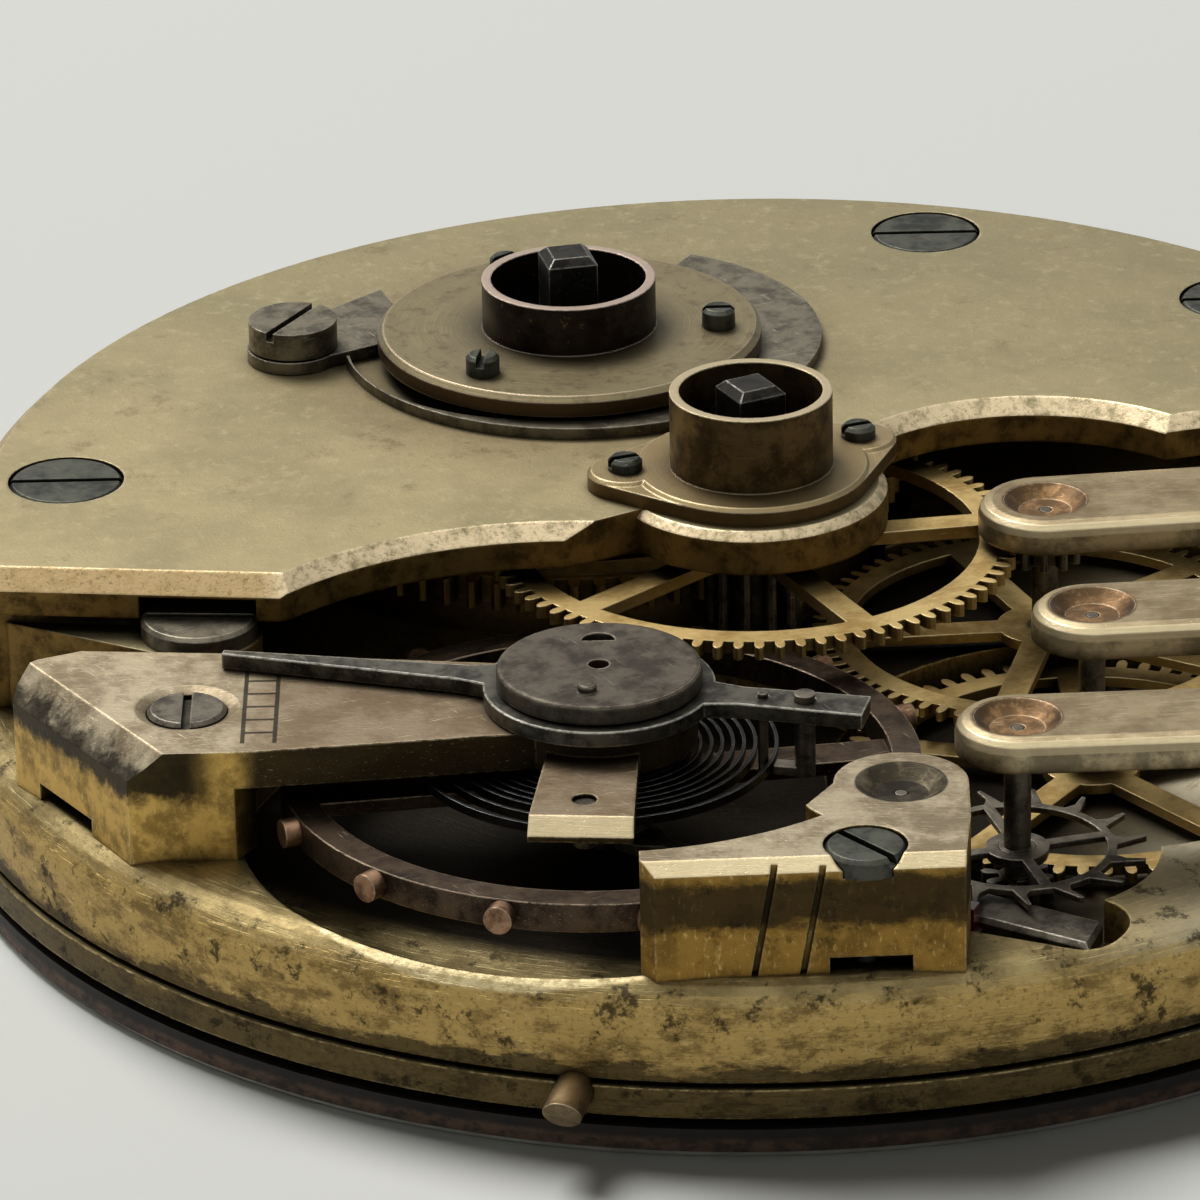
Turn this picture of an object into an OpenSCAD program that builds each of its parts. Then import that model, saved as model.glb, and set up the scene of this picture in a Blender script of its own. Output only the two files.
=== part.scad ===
// Key-wound, back-set lever pocket watch movement, lying dial down.
// Millimetres. The centre arbor is the Z axis and z = 0 is the face of the dial.

/* [Main plate] */
// Radius of the plate's side wall
plate_r = 21.4; // [21.2:0.1:22.5]
// Thickness of the plate at its rim
plate_t = 3.37; // [3.2:0.05:4]
// Height of the band at the foot of the wall
band_h = 0.77; // [0.6:0.01:1]
// How far the band stands out from the wall
band_w = 0.12; // [0.05:0.01:0.3]
// Depth of the groove above the band
groove_d = 0.22; // [0.05:0.01:0.4]
// How far the dial's seat lies inside the wall
seat_in = 1.2; // [0.8:0.1:1.9]
// Height of the seat below the rim
seat_h = 0.33; // [0.2:0.01:0.6]
// Width of the plate's rounded upper edge
rim_round_w = 1.1; // [0.8:0.05:1.2]
// Height of the plate's rounded upper edge
rim_round_h = 1; // [0.6:0.05:1.2]
// Depth of the recess under the balance
balance_recess = 1.15; // [1.05:0.05:1.4]
// Bevel round that recess
recess_edge = 0.3; // [0.1:0.05:0.4]
// Depth of the recess for the motion work
motion_recess = 1.3; // [1.25:0.05:1.4]
// Radius of the peg that locates the movement in its case
case_pin_r = 0.48; // [0.3:0.02:0.5]
// How far the peg stands out
case_pin_out = 1.6; // [0.4:0.05:1.8]
// Direction of the peg
case_pin_dir = 256.8; // [250:0.2:262]

/* [Dial] */
// How far the dial stands out beyond the plate's wall
dial_over = 0.05; // [-0.2:0.05:0.1]
// Thickness of the dial
dial_t = 0.85; // [0.8:0.05:1.2]
// Rounding of the dial's lower edge
dial_edge = 0.25; // [0.1:0.05:0.4]
// Radius of the hole at the centre
dial_hole_r = 1.6; // [1.5:0.05:2]
// Radius of the sunk seconds dial
seconds_r = 5.2; // [4:0.1:6]
// Depth of the sunk seconds dial
seconds_sink = 0.25; // [0.1:0.05:0.35]
// Radius of a dial foot
dial_foot_r = 0.45; // [0.35:0.05:0.6]
// How far the dial feet lie inside the plate's wall
dial_foot_in = 6; // [5.6:0.1:6.4]

/* [Upper plate] */
// How far the plate's back edge lies inside the main plate's wall
upper_in = 0.95; // [0.5:0.05:1.4]
// Thickness of the plate
upper_t = 1.15; // [1:0.05:1.5]
// Clear height between the plates
upper_space = 2.91; // [2.85:0.01:3.3]
// Width of the wall that the plate stands on
wall_w = 3.9; // [3.6:0.1:4.2]
// Bevel along the plate's edges
upper_edge = 0.4; // [0.1:0.05:0.45]
// Bevel along its left front edge
corner_edge = 0.5; // [0.2:0.05:0.55]
// Radius of the lobe over the centre wheel
lobe_r = 3.55; // [3.5:0.05:4.2]
// Bevel round that lobe
lobe_edge = 0.22; // [0.1:0.02:0.3]
// Radius of the scallop beside the balance
scallop_r = 9.3; // [9:0.1:10]
// Radius of the scallop beside the third wheel
third_scallop_r = 5.45; // [5:0.05:5.8]
// Height of the ledge under the plate's front corner
ledge_h = 2.45; // [1.8:0.05:2.45]

/* [Bridges] */
// Height of the finger bridges above the main plate
finger_rise = 3.6; // [3.55:0.05:4]
// Thickness of the finger bridges
finger_t = 0.85; // [0.75:0.05:0.9]
// Half width of the third wheel's bridge
third_finger_r = 1.75; // [1.5:0.05:1.9]
// Half width of the fourth and escape wheels' bridges
finger_r = 1.55; // [1.4:0.05:1.7]
// Rounding along the bridges
finger_edge = 0.36; // [0.1:0.02:0.4]
// How far the foot of the third wheel's bridge lies inside the wall
third_foot_in = 3.1; // [2.8:0.05:3.4]
// How far the foot of the fourth wheel's bridge lies inside the wall
fourth_foot_in = 2.85; // [2.6:0.05:3.1]
// How far the foot of the escape wheel's bridge lies inside the wall
escape_foot_in = 2.3; // [2.2:0.05:2.6]
// Radius of the oil sinks
sink_r = 1.15; // [0.9:0.05:1.2]
// Depth of the oil sinks
sink_d = 0.3; // [0.2:0.05:0.35]

/* [Cocks] */
// How far the cocks' outer faces lie inside the wall
cock_in = 0.55; // [0.45:0.05:0.8]
// Height of the pallet cock above the main plate
pallet_cock_rise = 3; // [2.9:0.05:3.3]
// Bevel along the pallet cock's front
pallet_cock_edge = 0.3; // [0.1:0.02:0.4]
// Thickness of the pallet cock's arm
pallet_arm_t = 0.95; // [0.8:0.05:1]
// Radius of the pallet cock's round end
pallet_end_r = 1.65; // [1.5:0.05:1.8]
// Height of the balance cock above the main plate
balance_cock_rise = 2.95; // [2.9:0.05:3.2]
// Thickness of the balance cock's arm
balance_arm_t = 1; // [0.85:0.05:1]
// Radius of the balance cock's round end
balance_end_r = 2.45; // [2.4:0.05:2.7]
// Bevel along the balance cock's outer edge
cock_edge = 0.75; // [0.3:0.05:1]
// Thickness of the lug that holds the hairspring stud
lug_t = 0.55; // [0.4:0.05:0.6]
// Width of the lug
lug_w = 2.3; // [1.8:0.1:2.6]

/* [Wheel train] */
// Teeth on the barrel
barrel_teeth = 80; // [72:4:88]
// Pitch radius of the barrel
barrel_pitch_r = 8.71; // [8.6:0.01:8.8]
// Direction from the centre to the barrel
barrel_dir = 118.7; // [118:0.1:120]
// Leaves on the centre pinion
center_leaves = 10; // [10:1:11]
// Teeth on the centre wheel
center_teeth = 80; // [72:4:88]
// Pitch radius of the centre wheel
center_pitch_r = 6.81; // [6.7:0.01:6.9]
// Height of the centre wheel above the main plate
center_rise = 2.08; // [2.05:0.01:2.15]
// Direction from the centre to the third wheel
third_dir = -4.5; // [-6:0.1:-3]
// Leaves on the third pinion
third_leaves = 10; // [9:1:11]
// Teeth on the third wheel
third_teeth = 75; // [70:5:80]
// Pitch radius of the third wheel
third_pitch_r = 5.95; // [5.85:0.01:6]
// Direction from the third wheel to the fourth wheel
fourth_dir = -83.2; // [-86:0.1:-81]
// Leaves on the fourth pinion
fourth_leaves = 10; // [9:1:11]
// Teeth on the fourth wheel
fourth_teeth = 64; // [60:4:72]
// Pitch radius of the fourth wheel
fourth_pitch_r = 6.18; // [6.1:0.01:6.3]
// Direction from the fourth wheel to the escape wheel
escape_dir = -109; // [-110:0.1:-108]
// Leaves on the escape pinion
escape_leaves = 8; // [8:1:9]
// Thickness of the train wheels
wheel_t = 0.27; // [0.2:0.01:0.3]
// Width of the wheel rims inside the teeth
rim_w = 0.62; // [0.45:0.01:0.8]
// Width of the wheel spokes
spoke_w = 0.75; // [0.5:0.05:1]
// Radius of the train pivots
pivot_r = 0.15; // [0.12:0.01:0.2]
// Radius of the train arbors
arbor_r = 0.34; // [0.28:0.01:0.4]

/* [Escapement] */
// Teeth on the escape wheel
escape_teeth = 15; // [13:1:17]
// Radius of the escape wheel over its teeth
escape_r = 3.26; // [3.2:0.01:3.35]
// Thickness of the escape wheel
escape_t = 0.16; // [0.12:0.01:0.2]
// Direction from the escape wheel to the pallet arbor
pallet_dir = 218; // [216:0.5:220]
// Thickness of the lever
lever_t = 0.3; // [0.2:0.02:0.34]
// Width of the lever
lever_w = 0.62; // [0.45:0.01:0.8]
// Length of the lever's tail
tail_len = 5.1; // [4.5:0.1:5.3]
// Width of the lever's tail
tail_w = 1.3; // [1:0.05:1.35]
// Thickness of the lever's tail
tail_t = 0.55; // [0.35:0.01:0.58]
// How far the tail turns from the line of the lever
tail_turn = 12; // [8:1:14]
// How far the lever swings each way
lever_swing = 5; // [3:0.5:6]
// Distance from the pallet arbor to the balance staff
lever_span = 8.96; // [8.9:0.02:9.1]
// Direction from the pallet arbor to the balance staff
lever_dir = 144.6; // [144:0.1:146]

/* [Balance] */
// Outer radius of the balance rim
balance_r = 8.05; // [7.9:0.01:8.1]
// Width of the balance rim
balance_rim_w = 0.75; // [0.6:0.05:0.9]
// Height of the balance rim
balance_rim_h = 0.75; // [0.6:0.01:0.8]
// Height of the balance rim above the main plate
balance_rise = 0.5; // [0.45:0.01:0.6]
// Direction of the balance arms
balance_arm_dir = 8; // [0:1:20]
// Width of the balance arms
balance_arm_w = 1.1; // [0.8:0.05:1.4]
// Number of timing screws on the rim
timing_screws = 14; // [10:2:16]
// Radius of the timing screw heads
timing_r = 0.36; // [0.2:0.01:0.37]
// How far the timing screws stand out
timing_out = 0.42; // [0.3:0.01:0.42]
// Radius of the hairspring's outer coil
hairspring_r = 4.8; // [4.7:0.05:5]
// Coils of the hairspring
hairspring_turns = 7.5; // [5.5:1:7.5]
// Thickness of the hairspring's ribbon
hairspring_w = 0.09; // [0.07:0.01:0.1]
// Height of the hairspring's ribbon
hairspring_h = 0.24; // [0.18:0.01:0.26]

/* [Regulator] */
// Thickness of the regulator
regulator_t = 0.4; // [0.3:0.02:0.44]
// Outer radius of the regulator's ring
regulator_r = 2.9; // [2.75:0.05:3.1]
// Direction of the regulator's pointer
regulator_dir = 166; // [160:1:170]
// Reach of the pointer from the balance staff
pointer_len = 9.75; // [9:0.05:10]
// Reach of the tail from the balance staff
regulator_tail = 6.8; // [6.2:0.05:7]
// Radius of the cap over the balance pivot
cap_r = 2.57; // [2.4:0.01:2.65]
// Thickness of the cap
cap_t = 0.48; // [0.4:0.02:0.6]

/* [Winding] */
// Height of the barrel with its cover
barrel_h = 3; // [2.9:0.05:3.05]
// Outer radius of the barrel's drum
drum_r = 8.2; // [8.1:0.05:8.25]
// Wall of the drum
drum_wall = 0.35; // [0.3:0.05:0.45]
// Width of the winding and setting squares
square_w = 1.35; // [1.1:0.05:1.4]
// Bevel on the squares' ends
square_edge = 0.2; // [0.05:0.05:0.3]
// Turn of the winding square
winding_turn = 12; // [0:1:90]
// Teeth on the ratchet wheel
ratchet_teeth = 24; // [20:2:30]
// Radius of the ratchet wheel
ratchet_r = 3.1; // [2.9:0.05:3.15]
// Thickness of the ratchet wheel and the click
ratchet_t = 0.36; // [0.3:0.02:0.38]
// Radius of the brass cap over the ratchet wheel
ratchet_cap_r = 5.2; // [5.1:0.05:5.4]
// Thickness of that cap
ratchet_cap_t = 0.55; // [0.45:0.05:0.7]
// Clear height under that cap
ratchet_space = 0.44; // [0.42:0.01:0.5]
// Outer radius of the winding collar
winding_collar_r = 2.35; // [2.2:0.05:2.5]
// Height of the winding collar above the cap
winding_collar_h = 1.35; // [1.1:0.05:1.6]
// Wall of the winding and setting collars
collar_wall = 0.25; // [0.2:0.01:0.35]
// Outer radius of the click spring
click_spring_r = 6.5; // [6.4:0.05:6.7]

/* [Hand setting] */
// Outer radius of the setting collar
setting_collar_r = 2.13; // [2:0.01:2.3]
// Height of the setting collar above its flange
setting_collar_h = 2.05; // [1.9:0.05:2.4]
// Turn of the setting square
setting_turn = 27; // [0:1:90]
// Radius of the collar's flange
flange_r = 3.1; // [2.9:0.05:3.2]
// Thickness of the collar's flange
flange_t = 0.5; // [0.4:0.05:0.6]
// Radius of the setting arbor
setting_r = 0.5; // [0.45:0.01:0.54]
// Leaves on the cannon pinion
cannon_leaves = 12; // [10:2:12]
// Teeth on the minute wheel
minute_teeth = 36; // [30:6:42]
// Pitch radius of the minute wheel
minute_pitch_r = 3.45; // [3.4:0.01:3.5]
// Direction from the centre to the minute wheel
minute_dir = 200; // [190:1:210]
// Leaves on the minute pinion
minute_leaves = 10; // [8:1:10]
// Teeth on the hour wheel
hour_teeth = 40; // [36:4:44]

/* [Screws and fits] */
// Radius of the large screw heads
plate_screw_r = 1.5; // [1.3:0.05:1.55]
// How far the plate screws lie inside the main plate's wall
plate_screw_in = 3.4; // [3.2:0.05:3.5]
// Radius of the bridge and cock screw heads
cock_screw_r = 1; // [0.85:0.05:1.05]
// Radius of the small screw heads
small_screw_r = 0.45; // [0.35:0.01:0.5]
// Width of the screw slots
slot_w = 0.22; // [0.15:0.01:0.3]
// Radial play of a pivot in its hole
pivot_play = 0.03; // [0.02:0.005:0.05]
// Radial play of a large journal
journal_play = 0.05; // [0.03:0.005:0.08]
// Play of a piece fitted on its seat
seat_play = 0.01; // [0.005:0.005:0.02]
// End play of an arbor between its bearings
end_play = 0.05; // [0.03:0.01:0.08]
// Room between a wheel and the pocket it turns in
pocket_gap = 0.3; // [0.2:0.02:0.35]

/* [Hidden] */
$fn = 64;
// Overlap that makes a cut run clean through a face
cut = 0.2;

// Radii that follow from the main plate's wall
seat_r = plate_r - seat_in;
dial_r = plate_r + dial_over;
dial_foot_ring = plate_r - dial_foot_in;
upper_r = plate_r - upper_in;
plate_screw_ring = plate_r - plate_screw_in;
cock_ring = plate_r - cock_in;

// Heights from the dial's face upwards
plate_z = dial_t + seat_h;
plate_top = plate_z + plate_t;
upper_z = plate_top + upper_space;
upper_top = upper_z + upper_t;
finger_top = plate_top + finger_rise;
finger_z = finger_top - finger_t;
pallet_cock_top = plate_top + pallet_cock_rise;
pallet_arm_z = pallet_cock_top - pallet_arm_t;
balance_cock_top = plate_top + balance_cock_rise;
balance_arm_z = balance_cock_top - balance_arm_t;

// Gear proportions, in modules and in shares of the pitch
wheel_add = 1.15;
wheel_ded = 1.35;
leaf_add = 0.7;
leaf_ded = 1.6;
wheel_share = 0.48;
leaf_share = 0.42;

// Axes of the train, each from the gear before it
function polar(r, a) = [r * cos(a), r * sin(a)];
function heading(p) = atan2(p[1], p[0]);
// Point seen from p in a direction, a given way inside the plate's wall
function foot_place(p, dir, inside) =
    let (along = p * polar(1, dir), ring = plate_r - inside)
    p + polar(sqrt(along * along - p * p + ring * ring) - along, dir);
function reversed(list) = [for (i = [len(list) - 1:-1:0]) list[i]];
function leaf_r(pitch_r, teeth, leaves) = pitch_r * leaves / teeth;
center_axis = [0, 0];
center_leaf_r = leaf_r(barrel_pitch_r, barrel_teeth, center_leaves);
third_leaf_r = leaf_r(center_pitch_r, center_teeth, third_leaves);
fourth_leaf_r = leaf_r(third_pitch_r, third_teeth, fourth_leaves);
escape_leaf_r = leaf_r(fourth_pitch_r, fourth_teeth, escape_leaves);
barrel_axis = polar(barrel_pitch_r + center_leaf_r, barrel_dir);
third_axis = polar(center_pitch_r + third_leaf_r, third_dir);
fourth_axis = third_axis + polar(third_pitch_r + fourth_leaf_r, fourth_dir);
escape_axis = fourth_axis + polar(fourth_pitch_r + escape_leaf_r, escape_dir);
// The pallets span sixty degrees of the escape wheel
pallet_half_span = 30;
pallet_axis = escape_axis + polar(escape_r / cos(pallet_half_span), pallet_dir);
balance_axis = pallet_axis + polar(lever_span, lever_dir);
tail_dir = lever_dir + 180 + tail_turn;

// Motion work on the dial side
cannon_leaf_r = leaf_r(minute_pitch_r, minute_teeth, cannon_leaves);
minute_distance = minute_pitch_r + cannon_leaf_r;
minute_axis = polar(minute_distance, minute_dir);
hour_pitch_r = minute_distance * hour_teeth / (hour_teeth + minute_leaves);
minute_leaf_r = minute_distance - hour_pitch_r;
motion_top = dial_t + motion_recess;
hour_wheel_z = dial_t + 0.1;
hour_wheel_t = 0.3;
minute_wheel_z = dial_t + 0.7;
minute_wheel_t = 0.3;
minute_stud_r = 0.4;
cannon_pipe_r = 0.85;
hour_pipe_r = 1.25;
hand_post_z = seconds_sink + 0.05;

// Levels of the train
center_wheel_z = plate_top + center_rise;
center_wheel_t = wheel_t + 0.08;
third_floor = plate_top - 0.55;
third_wheel_z = third_floor + pocket_gap;
fourth_floor = plate_top - 1.45;
fourth_wheel_z = fourth_floor + pocket_gap;
escape_wheel_z = plate_top - 0.1;
lever_floor = plate_top - balance_recess;
lever_z = lever_floor + 0.35;
lever_top = lever_z + lever_t;
pallet_arbor_r = arbor_r * 0.7;
leaf_reach = 0.18;
center_post_r = 0.95;
center_bore_r = setting_r + journal_play;
wheel_seat_r = arbor_r + 0.12;
wheel_collar_r = wheel_seat_r + 0.3;
collar_t = 0.12;
hub_r = 1.25;

// Levels of the barrel
barrel_floor = plate_top - 1.55;
barrel_z = barrel_floor + 0.2;
barrel_top = barrel_z + barrel_h;
barrel_tip_r = barrel_pitch_r + wheel_add * 2 * barrel_pitch_r / barrel_teeth;
barrel_teeth_z = plate_top + 0.5;
barrel_teeth_t = 0.75;
cover_t = 0.3;
arbor_hub_r = 1.6;
arbor_journal_r = 1.2;
spring_thick = 0.22;
spring_pitch = 0.65;
spring_room_r = drum_r - drum_wall - 0.15;
winding_top = upper_top + ratchet_space + ratchet_cap_t + winding_collar_h + 0.75;
setting_top = upper_top + flange_t + setting_collar_h + 0.2;

// Levels of the balance
balance_z = plate_top + balance_rise;
balance_sweep_r = balance_r + timing_out;
cock_clear_r = balance_sweep_r + pocket_gap;
balance_recess_r = balance_sweep_r + 0.65;
staff_r = 0.42;
balance_arm_h = 0.36;
balance_arm_lift = 0.1;
roller_z = plate_top - 0.2;
roller_t = 0.25;
roller_r = 1.45;
impulse_r = 1.1;
impulse_pin_r = 0.16;
collet_r = 0.75;
hairspring_z = balance_arm_z - hairspring_h - 0.22;
boss_r = 2;
boss_h = regulator_t + 2 * end_play;
cap_z = balance_cock_top + boss_h;
stud_r = 0.3;
stud_dir = -95;
jewel_r = 0.8;
jewel_t = 0.4;
endstone_r = 0.55;
endstone_t = 0.22;

// Winding work on the upper plate
ratchet_z = upper_top + 0.03;
cap_under = upper_top + ratchet_space;
ratchet_cap_screw_ring = ratchet_r + 0.95;
ratchet_cap_first = -5;
click_axis = barrel_axis + [-7.5, 0.35];
click_boss_r = 1.25;
click_spring_offset = [0.35, 0.8];
click_spring_t = ratchet_t - 0.04;
click_post_r = 0.5;

// Screw places
plate_screw_dirs = [177.1, 72.8, 41, 20];
ledge_screw = balance_axis + [-10.2, 5.6];
third_finger_dir = 6;
fourth_finger_dir = 4;
escape_finger_dir = 2;
third_foot = foot_place(third_axis, third_finger_dir, third_foot_in);
fourth_foot = foot_place(fourth_axis, fourth_finger_dir, fourth_foot_in);
escape_foot = foot_place(escape_axis, escape_finger_dir, escape_foot_in);
pallet_screw = pallet_axis + [-1, -3.4];
cock_screw = balance_axis + [-10.3, 0.05];
flange_ears = [[-3.3, -0.25], [2.85, 1.6]];
dial_foot_dirs = [25, 165];
ledge_relief = 0.55;
screw_ring_d = 0.14;
pry_w = 2;
pry_h = 0.4;
line_w = 0.16;
line_lean = 10;
screw_edge = 0.1;
slot_d = 0.25;
screw_head_t = 0.5;
shank_share = 0.36;
screw_grip = 1.5;
small_shank_r = small_screw_r * shank_share;
hole_play = 0.03;

// Colours of the metals
gilt = "#a39a76";
brass = "#b6924a";
worn_brass = "#a08a5c";
steel = "#4a4b4c";
blued = "#33383f";
bronze = "#6a5647";
ruby = "#8c2f3a";
enamel = "#e9e6dc";

// Moves a shape to a plan point at a height
module put(p, z = 0) translate([p[0], p[1], z]) children();

// Disc with a bevelled upper edge
module bevel_disc(r, h, edge) {
    rotate_extrude() polygon([[0, 0], [r, 0], [r, h - edge], [r - edge, h], [0, h]]);
}

// Outline of a rounded upper edge, from the side to the top
function round_edge(r, h, edge) = [for (a = [0:30:90]) [r - edge + edge * cos(a), h - edge + edge * sin(a)]];

// Disc with a rounded upper edge
module round_disc(r, h, edge) {
    rotate_extrude() polygon(concat([[0, 0], [r, 0]], round_edge(r, h, edge), [[0, h]]));
}

// Square post with a bevelled end
module square_post(w, h, edge) {
    side = [[-w / 2, 0], [w / 2, 0], [w / 2, h - edge], [w / 2 - edge, h], [edge - w / 2, h], [-w / 2, h - edge]];
    intersection() {
        rotate([90, 0, 0]) linear_extrude(w, center = true) polygon(side);
        rotate([90, 0, 90]) linear_extrude(w, center = true) polygon(side);
    }
}

// Turned shaft: each step is [radius, top], from z upwards
module turned(z, steps) {
    starts = [for (i = [0:len(steps) - 1]) i == 0 ? z : steps[i - 1][1]];
    sides = [for (i = [0:len(steps) - 1]) each [[steps[i][0], starts[i]], [steps[i][0], steps[i][1]]]];
    rotate_extrude() polygon(concat([[0, z]], sides, [[0, steps[len(steps) - 1][1]]]));
}

// Tube between two heights
module tube(r_out, r_in, z0, z1) {
    translate([0, 0, z0]) difference() {
        cylinder(h = z1 - z0, r = r_out);
        translate([0, 0, -cut]) cylinder(h = z1 - z0 + 2 * cut, r = r_in);
    }
}

// Hole between two heights
module bore(p, r, z0, z1) put(p, z0) cylinder(h = z1 - z0, r = r);

// Slot with round ends between two plan points
module slot(p, q, r, z0, z1) {
    bore(p, r, z0, z1);
    bore(q, r, z0, z1);
    put(p, z0) rotate(heading(q - p)) translate([0, -r, 0]) cube([norm(q - p), 2 * r, z1 - z0]);
}

// Cut with a bevelled upper edge, for scallops
module scallop(p, r, z0, z1, edge) {
    bore(p, r, z0 - cut, z1 + cut);
    put(p, z1 - edge) cylinder(h = edge + cut, r1 = r, r2 = r + edge + cut);
}

// Bevel cut along a straight upper edge from p to q, with the metal on the left
module edge_bevel(p, q, z, edge, over = 0) {
    put(p, z - edge) rotate(heading(q - p)) rotate([45, 0, 0])
        translate([-over, -edge, 0]) cube([norm(q - p) + 2 * over, 4 * edge, 2 * edge]);
}

// Slotted screw whose head's top is at the origin
module screw(head_r, head_t, len, turn) {
    shank = head_r * shank_share;
    rotate(turn) difference() {
        rotate_extrude() polygon([[0, -len], [shank, -len], [shank, -head_t], [head_r, -head_t],
            [head_r, -screw_edge], [head_r - screw_edge, 0], [0, 0]]);
        translate([-head_r - cut, -slot_w / 2, -slot_d])
            cube([2 * (head_r + cut), slot_w, slot_d + cut]);
    }
}

// Room for such a screw, open above its head
module screw_room(head_r, head_t, len, open) {
    translate([0, 0, -len - hole_play]) cylinder(h = len, r = head_r * shank_share + hole_play);
    translate([0, 0, -head_t]) cylinder(h = head_t + open, r = head_r + hole_play);
}

// Oil sink with its pivot hole, on a face at z1
module pivot_sink(p, z0, z1) {
    bore(p, pivot_r + pivot_play, z0 - cut, z1);
    put(p, z1 - sink_d) cylinder(h = sink_d + cut, r1 = sink_r * 0.6, r2 = sink_r + cut);
}

// Outline of a gear with rounded teeth; a tooth points along phase
function gear_points(teeth, pitch_r, add, ded, share, phase) =
    let (m = 2 * pitch_r / teeth, step = 360 / teeth, half = share * step / 2,
        tooth = [[-ded, -half], [0, -half], [0.65 * add, -0.68 * half], [add, 0],
            [0.65 * add, 0.68 * half], [0, half], [-ded, half]])
    [for (i = [0:teeth - 1]) for (t = tooth) polar(pitch_r + t[0] * m, phase + i * step + t[1])];

function leaf_root(pitch_r, count) = pitch_r * (1 - 2 * leaf_ded / count);

// Direction of a tooth that meshes with a gear already placed
function mesh_phase(phase, teeth, follower_teeth, dir) =
    dir + 180 - (0.5 - (dir - phase) * teeth / 360) * 360 / follower_teeth;

module wheel_disc(teeth, pitch_r, t, phase = 0) {
    linear_extrude(t) polygon(gear_points(teeth, pitch_r, wheel_add, wheel_ded, wheel_share, phase));
}

module leaves(count, pitch_r, z0, z1, phase) {
    translate([0, 0, z0]) linear_extrude(z1 - z0)
        polygon(gear_points(count, pitch_r, leaf_add, leaf_ded, leaf_share, phase));
}

// Openings between straight spokes
module spoke_gaps(r_in, r_hub, count, w, t, turn) {
    translate([0, 0, -cut]) difference() {
        cylinder(h = t + 2 * cut, r = r_in);
        translate([0, 0, -cut]) cylinder(h = t + 4 * cut, r = r_hub);
        for (i = [0:count - 1])
            rotate(turn + 360 / count * i) translate([0, -w / 2, -cut]) cube([r_in + 1, w, t + 4 * cut]);
    }
}

// Crossed-out train wheel with its bore
module train_wheel(teeth, pitch_r, t, bore_r, turn) {
    root = pitch_r - wheel_ded * 2 * pitch_r / teeth;
    difference() {
        wheel_disc(teeth, pitch_r, t);
        spoke_gaps(root - rim_w, hub_r, 5, spoke_w, t, turn);
        translate([0, 0, -cut]) cylinder(h = t + 2 * cut, r = bore_r + seat_play);
    }
}

// Flat spiral ribbon as one outline, from its inner end outwards
function spiral(r0, pitch, turns, start, side) =
    let (steps = round(turns * 24))
    [for (i = [0:steps]) let (a = i / steps * turns) polar(r0 + pitch * a + side, start + 360 * a)];

module ribbon(r0, pitch, turns, start, thick, h) {
    linear_extrude(h) polygon(concat(spiral(r0, pitch, turns, start, thick / 2),
        reversed(spiral(r0, pitch, turns, start, -thick / 2))));
}

// Least distance between neighbouring coils, measured on the ribbon's points
function coil_gap(r0, pitch, turns, start, thick) =
    let (out = spiral(r0, pitch, turns, start, thick / 2), in = spiral(r0, pitch, turns, start, -thick / 2))
    min([for (i = [0:len(out) - 25]) min([for (k = [23:25]) if (i + k < len(in)) norm(in[i + k] - out[i])])]);

// Plates

// Profile of the rim's rounded upper edge, standing off by gap
function rim_round(gap = 0) = [for (a = [0:15:90])
    [plate_r - rim_round_w + (rim_round_w + gap) * cos(a), plate_top - rim_round_h * (1 - sin(a))]];

// Room that the rim's rounded edge takes from what stands on it
module rim_room() {
    rotate_extrude() polygon(concat([[0, plate_top - rim_round_h]], rim_round(hole_play), [[0, plate_top]]));
}

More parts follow.
